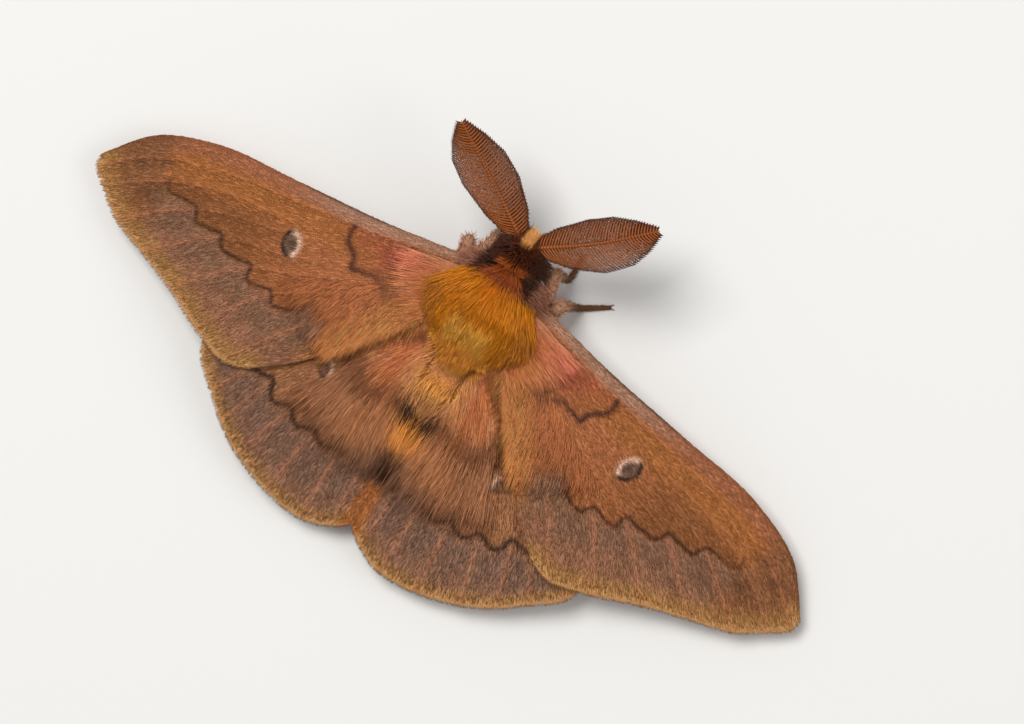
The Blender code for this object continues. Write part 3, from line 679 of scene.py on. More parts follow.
def strands(
    name, paths, radii, across, tints, bake, material, sides=3, flat=1.0, thin=None, soft=True
):
    """Solid tapering strands, each a tube of a few sides round its middle line.

    A ring of corners at equal angles stands round each point of a line, at the strand's
    radius times the root of 1 minus the square of the share of its length, and the line's
    end is the tip. A strand that isn't soft is a flat scale with an edge below.
    """
    count, steps, _ = paths.shape
    along = unit(np.gradient(paths, axis=1))
    level = unit(np.cross(along, across[:, None, :]))
    rise = np.cross(level, along)
    share = np.linspace(0.0, 1.0, steps)[:-1]
    shrink = np.sqrt(1.0 - share**2) if thin is None else np.interp(share, *thin)
    angles = (0.5 if soft else -0.5) * math.pi + np.arange(sides) * 2 * math.pi / sides
    reach = (np.asarray(radii)[:, None] * shrink)[:, :, None, None]
    ring = np.cos(angles)[:, None] * level[:, :-1, None]
    ring = ring + flat * np.sin(angles)[:, None] * rise[:, :-1, None]
    rings = (paths[:, :-1, None] + reach * ring).reshape(count, -1, 3)
    points = np.concatenate([rings, paths[:, -1:]], axis=1)
    each = points.shape[1]
    corner = np.arange(sides)
    after = (corner + 1) % sides
    one = [np.stack([np.zeros(sides - 2, int), corner[1:-1], corner[2:]], -1)]
    for ring_at in range(steps - 2):
        low, high = ring_at * sides, (ring_at + 1) * sides
        one.append(np.stack([low + corner, high + corner, high + after], -1))
        one.append(np.stack([low + corner, high + after, low + after], -1))
    last = (steps - 2) * sides
    one.append(np.stack([last + corner, np.full(sides, each - 1), last + after], -1))
    one = np.concatenate(one)
    triangles = (one[None] + (np.arange(count) * each)[:, None, None]).reshape(-1, 3)
    grown = np.append(np.repeat(share, sides), 1.0)
    patch = np.stack([grown, np.append(np.tile(corner / sides, steps - 1), 0.5)], -1) * BAKE_PATCH
    carried = {
        "tint": np.repeat(tints, each, axis=0),
        "tip": np.tile(grown, count),
        "chance": np.repeat(draw.random(count), each),
    }
    spread = (bake[:, None, :] + patch).reshape(-1, 2)
    made(name, points.reshape(-1, 3), triangles, material, carried, spread, soft)


def read_at(values, row, column):
    """Values of a grid between its points, each from the four points round it."""
    i = np.clip(row.astype(int), 0, values.shape[0] - 2)
    j = np.clip(column.astype(int), 0, values.shape[1] - 2)
    u, v = row - i, column - j
    if values.ndim == 3:
        u, v = u[:, None], v[:, None]
    near = values[i, j] * (1 - v) + values[i, j + 1] * v
    far = values[i + 1, j] * (1 - v) + values[i + 1, j + 1] * v
    return near * (1 - u) + far * u


def strewn(surface, count, likely):
    """Places spread over a wing by its area times how likely each is.

    They are fractional rows and columns of the wing's grid.
    """
    top = surface["top"]
    du, dv = np.diff(top, axis=0)[:, :-1], np.diff(top, axis=1)[:-1]
    area = np.linalg.norm(np.cross(du, dv), axis=-1) * likely[:-1, :-1]
    cells = draw.choice(area.size, count, p=(area / area.sum()).ravel())
    row, column = np.divmod(cells, area.shape[1])
    return row + draw.random(count), column + draw.random(count)


def on_plan(points, surface):
    """A place on a flat layout of a wing, from its plan."""
    top = surface["top"][..., :2]
    low, high = top.min((0, 1)), top.max((0, 1))
    return 0.01 + 0.97 * (points[:, :2] - low) / (high - low)


def scale_coat(name, side, surface, tone_of, count, length, radius, turn, face="top"):
    """Short scales that lie along the veins, root to tip, over one face of a wing.

    Every scale rises from just below the skin to above it, and long streaks of the wing's
    length are a little lighter or darker.
    """
    row, column = strewn(surface, count, 1.0 + 1.6 * np.exp(-surface["rim"] / 0.2))
    roots = read_at(surface[face], row, column)
    lie = unit(read_at(np.gradient(surface[face], axis=1), row, column))
    sway = np.cross(lie, UPWARD) * draw.normal(0.0, turn, count)[:, None]
    vein, rim = read_at(surface["vein"], row, column), read_at(surface["rim"], row, column)
    way = 1.0 if face == "top" else -1.0
    size = np.minimum(length * draw.uniform(0.7, 1.25, count), 0.2 + 0.16 * way + rim)[:, None]
    up = way * SCALE_RISE * UPWARD * draw.uniform(0.5, 1.2, count)[:, None]
    paths = np.stack([roots - way * SCALE_ROOT * UPWARD, roots + size * unit(lie + sway) + up], axis=1)
    middle = roots[:, :2] + 0.2 * lie[:, :2]
    streaks = draw.normal(0.0, 1.0, (surface["vein"].shape[0] + 1, STREAKS))
    streak = read_at(streaks, row, (STREAKS - 1.1) * column / surface["vein"].shape[1])
    tints = tone_of(middle[:, 0], middle[:, 1], vein) * [1.0, 0.98, 0.9]
    tints = tints * (1.0 + streak[:, None] * [0.03, 0.035, 0.06])
    strands(
        name, paths * [side, 1.0, 1.0], np.full(count, radius), np.tile(way * UPWARD, (count, 1)),
        tints, on_plan(roots, surface), scales, flat=0.3, soft=False,
    )


def underside(tone_of):
    """A wing's colours half way to a pale pinkish tan."""
    return lambda *plan: laid(tone_of(*plan), tone(176, 130, 100), 0.5)


UPWARD = np.array([0.0, 0.0, 1.0])
SCALE_ROOT, SCALE_RISE = 0.006, 0.012
STREAKS = 12
draw = np.random.default_rng(12)
velvet = coat_finish("wing_membrane", 0.8, 1.1, 1.1, 0.2, 0.15, 0.1)
scales = coat_finish("wing_scales", 0.7, 1.24, 1.26, 0.06, 0.05, 0.0)
fore = wing_surface(FORE_VEINS, FORE_STARTS, fore_height, FORE_STRIPS, FORE_ROWS, FORE_HANG)
hind = wing_surface(HIND_VEINS, HIND_STARTS, hind_height, HIND_STRIPS, HIND_ROWS, HIND_HANG)
for pair, surface, tone_of, many, length in (
    ("forewing", fore, fore_tone, 36000, 0.42), ("hindwing", hind, hind_tone, 25000, 0.52)
):
    top = surface["top"]
    tints = tone_of(top[..., 0], top[..., 1], surface["vein"])
    for word, side in SIDES:
        node = f"{pair}_{word}"
        wing_skin(node + "_skin", side, surface, tints, velvet, node)
        scale_coat(node + "_scales", side, surface, tone_of, many, length, 0.046, 0.1)
        scale_coat(
            node + "_under", side, surface, underside(tone_of), many // 9, length * 1.8, 0.1, 0.12,
            "bottom",
        )


# The long hair of the back: golden locks rooted all over the thorax, which lie back over the
# wing hinges and end in two skirts, a wide one behind the wings and a narrow one over the
# waist. Hair grows in locks whose tips draw together.
THORAX_COAT = [
    (2.6, 1.8, 4.0, 7.8),
    (1.4, 3.3, 3.6, 8.8),
    (0.0, 4.0, 3.5, 9.2),
    (-2.0, 4.7, 3.5, 9.3),
    (-3.5, 4.4, 3.6, 8.9),
    (-5.2, 3.0, 3.9, 8.0),
    (-8.2, 2.1, 4.1, 6.9),
]


def coat_line(coat, y, angle, length, turn, lift, steps):
    """Middle lines of hairs that rise from the trunk's skin and lie back under a coat's shape.

    Along a hair the place moves back by its length and round by its turn, and it goes from
    the skin's section to the coat's by the root of the share of its length.
    """
    share = np.linspace(0.0, 1.0, steps)
    back = y[:, None] - length[:, None] * share
    inner = on_section(CORE, back, angle[:, None] + 0 * share)
    outer = on_section(coat, back, angle[:, None] + turn[:, None] * share)
    inner[..., 1] = back
    outer[..., 1] = back
    return inner + (lift[:, None] * share**0.5 - 0.06)[..., None] * (outer - inner)


def clear_of_wings(paths, room):
    """Lifts hair that hangs beside the trunk to lie on top of the wings."""
    x, y = paths[..., 0], paths[..., 1]
    on_wing = np.where(y > -5.2, fore_height(x, y), hind_height(x, y)) + room
    beside_it = ease(np.abs(x), 2.6, 3.2) * (y < 1.9)
    lifted = np.maximum(paths[..., 2], on_wing * beside_it)
    paths[..., 2] = np.where(beside_it > 0, lifted, paths[..., 2])
    return paths


def core_bake(y, angle):
    """A place on a flat layout of the trunk, from its length and the angle round it."""
    around = (angle % (2 * math.pi)) / (2 * math.pi)
    return 0.01 + 0.97 * np.stack([around, (y + 15.1) / 20.5], -1)


LOCKS = 380


def back_hair(name, count, side, material):
    """Half of the thorax's long hair, fanned out a little to the side and drawn into locks.

    A hair's points move towards those of the nearest guide hair by a pull that grows with
    the power 1.5 of the share of its length, and loose hairs stand out from the side.
    """
    def sown(number):
        """Where a number of hairs are rooted, how long they are and how far they turn."""
        y = draw.uniform(-5.6, 2.4, number)
        out = draw.uniform(-0.03, 1.0, number)
        angle = math.pi / 2 - side * out * math.radians(72.0)
        end = -7.7 + 2.2 * ease(out, 0.25, 0.7) + draw.normal(0, 0.5, number)
        length = draw.uniform(2.6, 4.2, number) * (1.0 - 0.72 * ease(y, 0.7, 1.8))
        length = np.minimum(length, y - end).clip(0.9)
        return y, out, angle, length, -side * (0.04 + 0.26 * out)

    y, _, angle, length, turn = sown(LOCKS)
    guides = coat_line(THORAX_COAT, y, angle, length, turn, draw.uniform(0.85, 1.02, LOCKS), 5)
    ys, outs, angles, lengths, turns = sown(count)
    gap = ((ys[:, None] - y) / 0.9) ** 2 + ((angles[:, None] - angle) * 2.6) ** 2
    own = np.argmin(gap, axis=1)
    lift = draw.uniform(0.5, 1.0, count)
    paths = coat_line(THORAX_COAT, ys, angles, lengths, turns + draw.normal(0, 0.04, count), lift, 5)
    pull = (0.36 * np.linspace(0, 1, 5) ** 1.5)[:, None]
    paths = paths * (1 - pull) + (guides[own] + draw.normal(0, 0.16, (count, 1, 3))) * pull
    share = np.linspace(0, 1, 5)
    loose = (0.2 + 1.7 * draw.random(count) ** 2) * ease(outs, 0.4, 0.95)
    loose = loose * (1 - ease(ys, 0.6, 1.6)) * (1 - 0.6 * ease(-ys, 1.5, 4.0))
    paths[..., 0] += side * loose[:, None] * share**1.6
    paths = clear_of_wings(paths, 0.4 - 0.32 * share)
    collar = ease(ys, 1.1, 1.8)
    tints = laid(body_tone(paths[:, 3]), body_tone(paths[:, 0]), collar)
    tints = tints * (1.0 + 0.035 * draw.standard_normal(LOCKS))[own, None]
    across = on_section(THORAX_COAT, ys, angles) - np.stack([0 * ys, ys, 5.0 + 0 * ys], -1)
    radii = draw.uniform(0.024, 0.038, count)
    strands(name, paths, radii, across, tints, core_bake(ys, angles), material)


fur = coat_finish("long_fur", 0.5, 0.82, 1.14, 0.3, 0.12, 0.0)
golden = coat_finish("golden_fur", 0.5, 1.0, 1.26, 0.16, 0.08, 0.0)
for word, side in SIDES:
    back_hair("thorax_hair_" + word, 6800, side, golden)


def short_hair(roots, away, lie, length, lean, steps):
    """Middle lines of short hairs that leave the skin outward and bend over to their lie.

    A hair's direction is the outward one less a lean times the share of its length, plus
    that lean times the way it lies.
    """
    share = np.linspace(0.0, 1.0, steps)[None, :, None]
    bend = lean * (0.35 * share + 0.65 * share**2 / 2)
    way = away[:, None] * (share - bend) + lie[:, None] * bend * 1.4
    return roots[:, None] - 0.05 * away[:, None] + np.asarray(length).reshape(-1, 1, 1) * way


FLOOR_ROOM = 0.06


def trunk_fur(
    name, count, rows, turns, length, lean, lie, material, tint_of=body_tone, thick=0.04, steps=4
):
    """Short fur on part of the trunk, between two places along it and two angles round it."""
    y = draw.uniform(*rows, count)
    angle = draw.uniform(*np.radians(turns), count)
    roots = on_section(CORE, y, angle)
    step = 0.02
    along = on_section(CORE, y + step, angle) - on_section(CORE, y - step, angle)
    round_it = on_section(CORE, y, angle + step) - on_section(CORE, y, angle - step)
    away = unit(np.cross(along, round_it))
    outward = np.stack([np.clip(roots[:, 0], -1, 1), 1 + 0 * y, 1 + 0 * y], -1)
    lie = unit(np.asarray(lie) * outward + draw.normal(0, 0.16, (count, 3)))
    lengths = length * draw.uniform(0.7, 1.2, count)
    paths = short_hair(roots, away, lie, lengths, lean, steps)
    paths[..., 2] = np.maximum(paths[..., 2], FLOOR_ROOM)
    tints = tint_of(paths[:, -2])
    radii = draw.uniform(0.7, 1.2, count) * thick
    strands(name, paths, radii, away, tints, core_bake(y, angle), material)


for name, count, rows, turns, length, lean, lie, thick, steps in (
    ("bump", 3000, (-10.4, -5.6), (5.0, 175.0), 0.48, 0.95, (0.1, -1.0, 0.0), 0.038, 3),
    ("side_0", 550, (-11.5, -5.8), (0.0, 44.0), 1.35, 0.85, (0.65, -1.0, 0.25), 0.034, 4),
    ("side_136", 550, (-11.5, -5.8), (136.0, 180.0), 1.35, 0.85, (0.65, -1.0, 0.25), 0.034, 4),
    ("bowl", 2000, (-12.4, -9.0), (5.0, 175.0), 1.5, 0.9, (-0.35, -1.0, 0.0), 0.034, 4),
    ("under", 2200, (-14.6, -5.6), (-172.0, -8.0), 1.0, 0.9, (0.05, -1.0, 0.0), 0.04, 3),
):
    trunk_fur(
        "abdomen_fur_" + name, count, rows, turns, length, lean, lie, fur,
        thick=thick, steps=steps,
    )
trunk_fur(
    "tail_tuft", 1400, (-14.8, -12.0), (-180.0, 180.0), 2.1, 0.85, (0.12, -1.0, -0.03), fur,
)


def chest_tone(points):
    """Pinkish brown under the thorax."""
    return np.broadcast_to(tone(170, 116, 86), points.shape)


trunk_fur(
    "chest_fur", 3000, (-6.0, 2.3), (-176.0, 6.0), 1.3, 0.8, (0.25, -1.0, -0.2), fur,
    chest_tone, steps=3,
)

# The head hair: a dark brown ruff behind the head, longer dark tufts on the shoulders in
# front of the wings, and a tan brow tuft that stands up between the feelers.
brown = coat_finish("head_hair", 0.5, 0.65, 1.3, 0.6, 0.2, 0.0)
for name, count, rows, turns, length, lean, lie, tint_of, thick, steps in (
    ("ruff", 3200, (2.0, 4.5), (-25.0, 205.0), 1.35, 0.55, (0.9, -0.5, 0.3), body_tone, 0.032, 4),
    ("brow_tuft", 1300, (4.1, 5.2), (40.0, 140.0), 1.25, 0.7, (0.1, 0.8, 0.55), body_tone, 0.03, 4),
    ("face_fur", 1200, (3.6, 5.3), (-150.0, -10.0), 0.6, 0.6, (0.1, 0.6, -0.7), chest_tone, 0.03, 3),
):
    trunk_fur(name, count, rows, turns, length, lean, lie, brown, tint_of, thick, steps)


def shoulder_tuft(name, side, material):
    """A dark tuft of longer hair on the shoulder, in front of the wing hinge."""
    count = 1100
    y = draw.normal(1.75, 0.35, count).clip(0.9, 2.5)
    angle = math.pi / 2 - side * draw.uniform(math.radians(22.0), math.radians(75.0), count)
    roots = on_section(CORE, y, angle)
    away = unit(roots - [0.0, 1.0, 5.0])
    lie = unit(np.array([side * 0.9, -0.35, 0.15]) + draw.normal(0, 0.2, (count, 3)))
    paths = short_hair(roots, away, lie, draw.uniform(1.2, 2.2, count), 0.75, 5)
    ends = np.abs(paths[:, -1, 0])
    tints = painted(
        tone(136, 66, 26),
        ((56, 30, 15), ease(ends, 1.2, 2.0)),
        ((150, 98, 76), ease(ends, 2.9, 3.5)),
    )
    radii = draw.uniform(0.03, 0.055, count)
    strands(name, paths, radii, away, tints, core_bake(y, angle), material)


for word, side in SIDES:
    shoulder_tuft("shoulder_tuft_" + word, side, brown)

# The hair of the wing roots: golden tan hair that hangs over the front wings' inner edge, and
# long orange and brown hair that streams back from the root of each rear wing, past the
# abdomen, under the front wings.


def wing_hair(name, side, surface, roots, length, lift, turn, tints_of, thick, bare=None):
    """Long hairs on a wing that follow its veins' run, with a turn to one side, and rise to a lift.

    Past the wing's inner edge they run on in the edge's plane and droop. No hair passes over
    the bare circle.
    """
    row, column = roots
    count, steps = len(row), HAIR_STEPS
    top = surface["top"]
    rows_long = np.linalg.norm(np.diff(top, axis=1), axis=-1).sum(1)
    per = top.shape[1] - 1
    size = length * draw.uniform(0.7, 1.2, count)
    share = np.linspace(0.0, 1.0, steps)
    long = rows_long[np.clip(row.astype(int), 0, len(rows_long) - 1)][:, None]
    move = size[:, None] * share / long * per
    wide = np.maximum(read_at(np.linalg.norm(np.gradient(top, axis=0), axis=-1), row, column), 0.02)
    swing = turn + draw.normal(0, 0.05, count)
    side_step = swing[:, None] * size[:, None] * share**1.4 / wide[:, None]
    i = row[:, None] + side_step
    j = column[:, None] + move
    last_i, last_j = top.shape[0] - 1.001, top.shape[1] - 1.001
    far_j = np.clip(j, 0, last_j).ravel()
    inside = read_at(top, np.clip(i, 0, last_i).ravel(), far_j).reshape(count, steps, 3)
    edge = read_at(np.gradient(top, axis=0), np.full(i.size, last_i), far_j).reshape(count, steps, 3)
    over = np.maximum(i - last_i, 0.0)
    paths = inside + edge * over[..., None]
    lifts = lift * draw.uniform(0.3, 1.0, count)
    paths[..., 2] += lifts[:, None] * np.sin(np.pi * np.minimum(share, 0.62) ** 0.8)
    paths[..., 2] -= 0.4 * np.minimum(over * 0.22, 1.0)
    if bare is not None:
        x0, y0, radius = bare
        paths = paths[(np.hypot(paths[..., 0] - x0, paths[..., 1] - y0) > radius).all(1)]
        count = len(paths)
    tints = tints_of(paths[:, -2, 0], paths[:, -2, 1], draw.random(count))
    strands(
        name, paths * [side, 1.0, 1.0], thick * draw.uniform(0.7, 1.2, count),
        np.tile(UPWARD, (count, 1)), tints, on_plan(paths[:, 0], surface), streams, flat=0.7,
    )


def root_tint(x, y, chance):
    """Gold by the trunk, passing into the front wing's own colours."""
    own = fore_tone(x, y, OFF_VEIN) * [1.95, 2.4, 2.9] * (0.76 + 0.24 * ease(x, 6.0, 9.0))[:, None]
    gold = laid(tone(196, 124, 58), tone(188, 100, 64), ease(chance, 0.5, 0.7))
    by_trunk = 1 - ease(np.hypot(x - 4.0, y + 3.5), 1.5, 5.5)
    return laid(own, gold, by_trunk * (1 - ease(y, -1.6, -0.4)))


def edge_tint(x, y, chance):
    """Golden tan and orange by the inner edge, passing into the front wing's own colours."""
    own = fore_tone(x, y, OFF_VEIN) * [1.3, 1.3, 1.25]
    gold = laid(tone(198, 138, 76), tone(196, 114, 62), ease(chance, 0.5, 0.75))
    share = (1 - ease(line_distance(x, y, FORE_VEINS[-1]), 0.9, 2.6)) * (1 - ease(x, 9.4, 12.0))
    return laid(own, gold, share)


def stream_tint(x, y, chance):
    """Orange and pinkish brown streams, paler by the abdomen and black in small tufts."""
    colour = painted(
        tone(204, 124, 70),
        ((190, 122, 88), ease(chance, 0.35, 0.5)),
        ((218, 158, 98), ease(chance, 0.75, 0.85)),
        ((198, 108, 58), spot(x, y, 4.3, -9.0, 1.0, 3.2) * 0.7),
    )
    own = hind_tone(x, y, OFF_VEIN) * [1.2, 1.22, 1.25]
    return painted(
        laid(colour, own, ease(np.hypot(x, y + 4.0), 9.0, 12.5) * 0.9),
        ((220, 160, 98), spot(x, y, 1.6, -9.8, 1.3, 2.4) * 0.7),
        ((238, 156, 66), spot(x, y, 0.0, -14.8, 1.5, 1.5)),
        ((110, 62, 34), fade(line_distance(x, y, bent(HIND_BAND)), 0.8) * 0.75),
        ((204, 136, 86), spot(x, y, 4.0, -16.4, 1.8, 1.8) * 0.7),
        ((52, 26, 10), np.minimum(spot(x, y, 0.9, -13.4, 1.1, 0.7) * 1.3, 0.95)),
        ((64, 36, 16), spot(x, y, 0.2, -17.8, 0.8, 0.8)),
    )


HAIR_STEPS = 4
EDGE_HAIRS, ROOT_HAIRS, STREAM_HAIRS = 3300, 2100, 6000
EDGE_STRIPS, ROOT_STRIPS, STREAM_STRIPS = 34.0, 18.0, 44.0
streams = coat_finish("wing_hair", 0.55, 0.9, 1.12, 0.35, 0.15, 0.0)
fore_last, hind_last = fore["top"].shape[0] - 1, hind["top"].shape[0] - 1
for word, side in SIDES:
    rows_at = fore_last - EDGE_STRIPS * draw.random(EDGE_HAIRS) ** 1.7
    columns_at = FORE_ROWS * 0.58 * draw.random(EDGE_HAIRS)
    wing_hair(
        "forewing_edge_hair_" + word, side, fore, (rows_at, columns_at), 2.4, 0.14, 0.42,
        edge_tint, 0.032,
    )
    rows_at = ROOT_STRIPS + (fore_last - ROOT_STRIPS) * draw.random(ROOT_HAIRS)
    columns_at = FORE_ROWS * 0.14 * draw.random(ROOT_HAIRS) ** 1.3
    wing_hair(
        "forewing_root_hair_" + word, side, fore, (rows_at, columns_at), 2.8, 0.22, 0.0,
        root_tint, 0.034,
    )
    along = 0.58 * draw.random(STREAM_HAIRS) ** 1.25
    inner_strips = STREAM_STRIPS + 14.0 * (1.0 - ease(along, 0.05, 0.3))
    rows_at = hind_last - inner_strips * draw.random(STREAM_HAIRS)
    wing_hair(
        "hindwing_stream_hair_" + word, side, hind, (rows_at, HIND_ROWS * along), 3.4, 0.3, 0.0,
        stream_tint, 0.032, (*HIND_EYE, 1.05),
    )

# The feelers: a beaded shaft with a joint for each pair of rays, which are longest near the middle,
# and fine hair along both sides of every ray, painted dark as painted shade for the shadowed gaps
# between the rays. The left one is held further forward.
SHAFT_LINES = {
    "left": [(0.75, 4.9, 7.2), (5.3, 7.7, 9.2), (9.8, 10.3, 11.3)],
    "right": [(0.75, 4.9, 7.2), (5.0, 7.9, 9.2), (9.2, 11.7, 11.3)],
}
JOINTS = 40
RAY_REACH = [(0.0, 0.4), (0.12, 0.74), (0.36, 1.0), (0.58, 0.93), (0.78, 0.6), (0.92, 0.28), (1.0, 0.08)]
RAY_HAIRS = 46
RAY_STEPS = 9


def limb(name, line, radii, sides, tints, material):
    """A round tube with closed ends, and its middle line's directions and level normals."""
    along = unit(np.gradient(line, axis=0))
    level = unit(np.cross(along, UPWARD + 0.001))
    rise = np.cross(level, along)
    angles = np.arange(sides) * 2 * math.pi / sides
    ring = np.cos(angles)[:, None] * level[:, None] + np.sin(angles)[:, None] * rise[:, None]
    points = (line[:, None] + np.asarray(radii)[:, None, None] * ring).reshape(-1, 3)
    carried = {
        "tint": np.repeat(tints, sides, axis=0),
        "tip": np.full(len(points), 0.3),
        "chance": np.full(len(points), 0.5),
    }
    piece = made(name, points, tube(len(line), sides)[:, ::-1], material, carried)
    return piece, level, rise


def feeler(word, side, material):
    """A feather-like feeler.

    The shaft's radius falls evenly and swells by a cosine at each joint. A ray leaves it at
    right angles, bends ahead by a lean times its share and the share's square, and droops by
    the square of its share. The hairs stand out from a ray along the shaft, ahead and back.
    """
    line = np.array(SHAFT_LINES[word]) * [side, 1.0, 1.0]
    shares = np.linspace(0.0, 1.0, 5 * JOINTS + 1)
    radii = (0.19 - 0.11 * shares) * (1.0 + 0.16 * np.cos(2 * math.pi * JOINTS * shares))
    radii *= np.clip((1.0 - shares) * 40.0, 0.3, 1.0)
    pale = 0.5 - 0.5 * np.cos(2 * math.pi * JOINTS * shares)
    browns = laid(tone(112, 48, 16), tone(160, 92, 40), pale)
    shaft, _, _ = limb(
        "feeler_shaft_" + word, smooth_line(line, shares), radii, 9, browns, material
    )
    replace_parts(shaft, "antenna_" + word)
    joints = np.repeat((np.arange(JOINTS) + 0.6) / JOINTS * 0.96 + 0.02, 2)
    way = np.tile([1.0, -0.85], JOINTS)
    reach = np.tile([2.15, 2.85], JOINTS) * np.interp(joints, *zip(*RAY_REACH))
    lean = np.tile([0.2, 0.4], JOINTS)
    root = smooth_line(line, joints)
    along = unit(smooth_line(line, joints + 0.005) - smooth_line(line, joints - 0.005))
    front = unit(np.cross(UPWARD, along)) * side
    bend = np.linspace(0.0, 1.0, RAY_STEPS)[None, :, None]
    spread = bend * front[:, None] * way[:, None, None]
    ahead = lean[:, None, None] * (bend + bend**2) * along[:, None]
    droop = 0.12 * bend**2 * UPWARD
    rays = root[:, None] + reach[:, None, None] * (spread + ahead - droop)
    tints = np.tile(tone(156, 80, 20), (2 * JOINTS, 1))
    bake = np.stack([0.02 + 0.95 * joints, 0.3 + 0.3 * (way > 0)], -1)
    across = np.tile(UPWARD, (2 * JOINTS, 1))
    taper = (np.array([0.0, 0.5, 1.0]), np.array([1.0, 0.8, 0.45]))
    strands(
        "feeler_rays_" + word, rays, np.full(2 * JOINTS, 0.075), across, tints, bake, material,
        sides=5, thin=taper,
    )
    at = np.tile(np.linspace(0.03, 0.99, RAY_HAIRS), 2)
    by_step = np.moveaxis(rays, 1, 0).reshape(RAY_STEPS, -1)
    foot = smooth(at, np.linspace(0, 1, RAY_STEPS), by_step).reshape(len(at), -1, 3)
    foot = np.moveaxis(foot, 0, 1)
    ray_way = unit(rays[:, -1] - rays[:, 0])[:, None]
    sign = np.repeat([1.0, -1.0], RAY_HAIRS)[None, :, None]
    away = sign * along[:, None] + 0.45 * ray_way - 0.3 * UPWARD
    away = unit(away + draw.normal(0, 0.12, foot.shape))
    hairs = np.stack([foot, foot + 0.27 * away], axis=2).reshape(-1, 2, 3)
    # The hairs take about a third of the rays' tint: painted shade that stands in for the dark, shadowed
    # gaps between the rays.
    tints, bake = (np.repeat(row, 2 * RAY_HAIRS, axis=0) for row in (tints * [0.32, 0.28, 0.3], bake))
    strands(
        "feeler_hairs_" + word, hairs, np.full(len(hairs), 0.045), np.tile(UPWARD, (len(hairs), 1)),
        tints, bake, material,
    )


amber = coat_finish("feeler", 0.38, 0.9, 1.1, 0.3, 0.3, 0.0)
for word, side in SIDES:
    feeler(word, side, amber)

# The eyes: glossy black balls at the sides of the head, with fine six-sided facets.
EYE_AT = (1.45, 4.25, 5.35)
EYE_RADIUS = 0.72
EYE_RINGS, EYE_SIDES = 40, 56
FACET_FINENESS, FACET_DEPTH = 22000.0, 0.00001
eye_finish = bpy.data.materials.new("eye")
eye_finish.use_nodes = True
tree = eye_finish.node_tree
shader = tree.nodes["Principled BSDF"]
shader.inputs["Base Color"].default_value = (0.012, 0.008, 0.006, 1.0)
shader.inputs["Roughness"].default_value = 0.16
shader.inputs["Coat Weight"].default_value = 0.3
place = tree.nodes.new("ShaderNodeTexCoord").outputs["Object"]
facets = joined(tree, tree.nodes.new("ShaderNodeTexVoronoi"), Vector=place, Scale=FACET_FINENESS)
relief = joined(
    tree, tree.nodes.new("ShaderNodeBump"), Height=facets.outputs["Distance"], Strength=0.35,
    Distance=FACET_DEPTH,
)
tree.links.new(relief.outputs["Normal"], shader.inputs["Normal"])


def eye(word, side):
    """A ball, from rings at equal angles between its poles."""
    fall = np.linspace(0.04, math.pi - 0.04, EYE_RINGS)[:, None]
    turn = np.arange(EYE_SIDES) * 2 * math.pi / EYE_SIDES
    across, ahead = np.sin(fall) * np.cos(turn), np.sin(fall) * np.sin(turn)
    ball = np.stack([across, ahead, np.cos(fall) + 0 * turn], -1)
    points = np.array(EYE_AT) * [side, 1.0, 1.0] + EYE_RADIUS * ball.reshape(-1, 3)
    triangles = tube(EYE_RINGS, EYE_SIDES)[:, ::-1]
    ball = made("eye_ball_" + word, points, triangles, eye_finish, {})
    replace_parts(ball, "eye_" + word)


for word, side in SIDES:
    eye(word, side)

# The legs and palps: slim limbs with pinkish brown hair, thick on the thighs and thin on the
# feet, each of which ends in two dark claws. All six feet stand on the floor.
SOLE = 0.14
RIGHT_LEGS = {
    "front": [(1.3, -35.0), (2.9, 3.8, 4.2), (3.7, 4.7, SOLE), (3.5, 6.6, SOLE)],
    "mid": [(-0.4, -35.0), (4.6, 1.6, 4.0), (6.2, 3.1, SOLE), (7.9, 4.3, SOLE)],
    "hind": [(-3.2, -35.0), (4.9, -5.2, 3.3), (6.4, -8.2, SOLE), (7.2, -11.2, SOLE)],
}
TUCKED_MID = [(-0.4, -35.0), (4.8, 2.4, 4.2), (5.9, 0.6, SOLE), (8.2, -0.5, SOLE)]
LEGS = {"left": {**RIGHT_LEGS, "mid": TUCKED_MID}, "right": RIGHT_LEGS}
LEG_RADII = [0.5, 0.56, 0.5, 0.32, 0.24, 0.2, 0.16]
LEG_HAIR = [0.6, 0.8, 0.75, 0.5, 0.36, 0.28, 0.18]
LEG_STEPS, PALP_STEPS = 46, 16
FOOT_JOINTS, FOOT_ROOM = 16, 0.05


def hairy_limb(name, line, radii, hair, count, tint_of, node):
    """A limb's skin, and hair on it that lies towards its far end."""
    shares = np.linspace(0.0, 1.0, len(line))
    skin, level, rise = limb(name + "_skin", line, radii, 16, tint_of(shares), skin_finish)
    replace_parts(skin, node)
    share = draw.random(count) ** 0.8
    angle = draw.uniform(0, 2 * math.pi, count)
    place, knots = share * (len(line) - 1), np.arange(len(line))
    along = unit(smooth(place, knots, np.gradient(line, axis=0)))
    away = unit(
        np.cos(angle)[:, None] * smooth(place, knots, level)
        + np.sin(angle)[:, None] * smooth(place, knots, rise)
    )
    roots = smooth(place, knots, line) + away * np.interp(share, shares, radii)[:, None]
    lengths = np.interp(share, np.linspace(0, 1, len(hair)), hair) * draw.uniform(0.7, 1.25, count)
    lie = unit(along + draw.normal(0, 0.22, (count, 3)))
    paths = short_hair(roots, away, lie, lengths, 0.72, 3)
    paths[..., 2] = np.maximum(paths[..., 2], FOOT_ROOM)
    bake = 0.02 + 0.95 * np.stack([share, angle / (2 * math.pi)], -1)
    radii = draw.uniform(0.022, 0.038, count)
    strands(name + "_fur", paths, radii, away, tint_of(share), bake, fur)


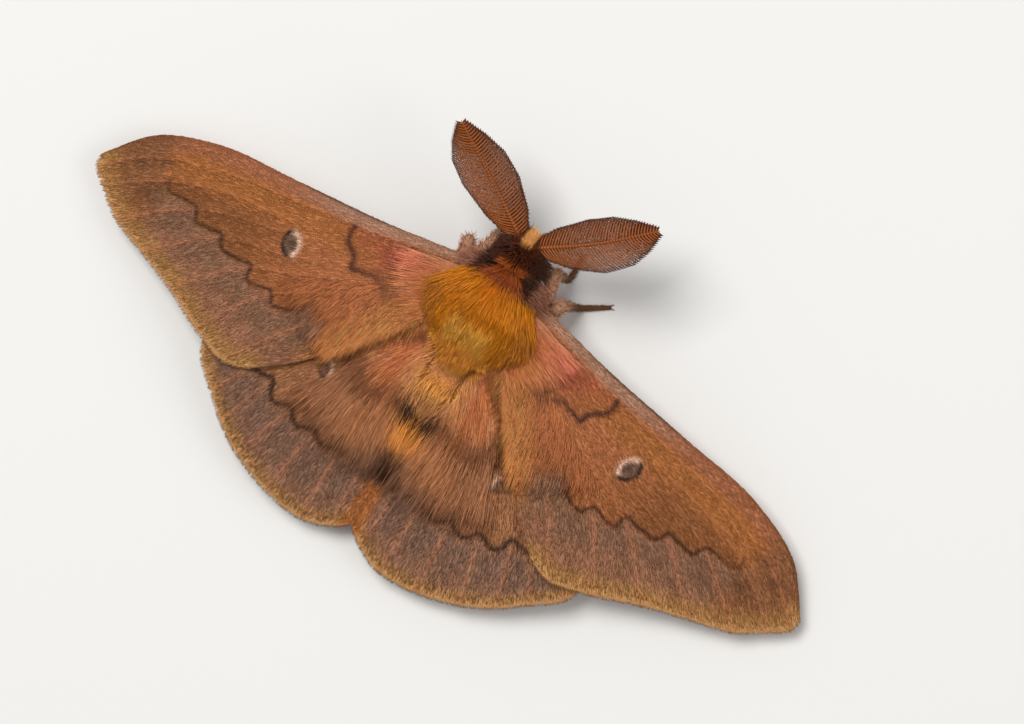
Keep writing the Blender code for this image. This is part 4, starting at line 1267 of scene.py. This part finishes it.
def leg_tone(share):
    """Pinkish tan on the thigh, browner to the foot."""
    return laid(tone(208, 154, 120), tone(116, 76, 46), ease(share, 0.25, 0.7))


def leg(word, side, which):
    """A leg from the chest to its claws, through its knee and heel, with ringed feet."""
    (y, angle), knee, heel, toe = LEGS[word][which]
    base = on_section(CORE, y, math.radians(angle))
    out = unit(base - [0.0, y, 5.0])
    shares = np.linspace(0.0, 1.0, LEG_STEPS)
    line = smooth_line([base, base + out, knee, heel, toe], shares)
    radii = np.interp(shares, np.linspace(0, 1, len(LEG_RADII)), LEG_RADII)
    radii *= 1.0 + 0.12 * np.cos(2 * math.pi * FOOT_JOINTS * shares) * ease(shares, 0.6, 0.66)
    line[:, 2] = np.maximum(line[:, 2], radii)
    line = line * [side, 1.0, 1.0]
    name = f"leg_{which}_{word}"
    hairy_limb(name, line, radii, LEG_HAIR, 1150, leg_tone, name)
    ahead = unit(line[-1] - line[-3])
    level = unit(np.cross(ahead, UPWARD))
    bend = np.linspace(0.0, 1.0, 5)[:, None]
    claws = np.stack([
        line[-1] + 0.42 * bend * ahead + way * 0.22 * np.sin(2.2 * bend) * level - 0.1 * bend**2 * UPWARD
        for way in (-1.0, 1.0)
    ])
    strands(
        name + "_claws", claws, np.array([0.05, 0.05]), np.tile(UPWARD, (2, 1)),
        np.tile(tone(60, 34, 22), (2, 1)), np.full((2, 2), 0.5), amber, sides=6,
    )


def palp(word, side):
    """A short hairy palp under the face, pointing ahead."""
    base = on_section(CORE, 4.75, math.radians(-58.0))
    shares = np.linspace(0.0, 1.0, PALP_STEPS)
    line = smooth_line([base, base + [0.12, 0.35, -0.3], base + [0.2, 1.3, -0.12]], shares)
    radii = np.interp(shares, [0, 0.7, 1], [0.22, 0.2, 0.08])
    hairy_limb(
        "palp_hairy_" + word, line * [side, 1.0, 1.0], radii, [0.4, 0.45, 0.35], 420,
        lambda share: np.tile(tone(176, 118, 88), (len(share), 1)), "palp_" + word,
    )


for word, side in SIDES:
    for which in RIGHT_LEGS:
        leg(word, side, which)
    palp(word, side)


bpy.context.view_layer.update()
low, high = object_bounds()
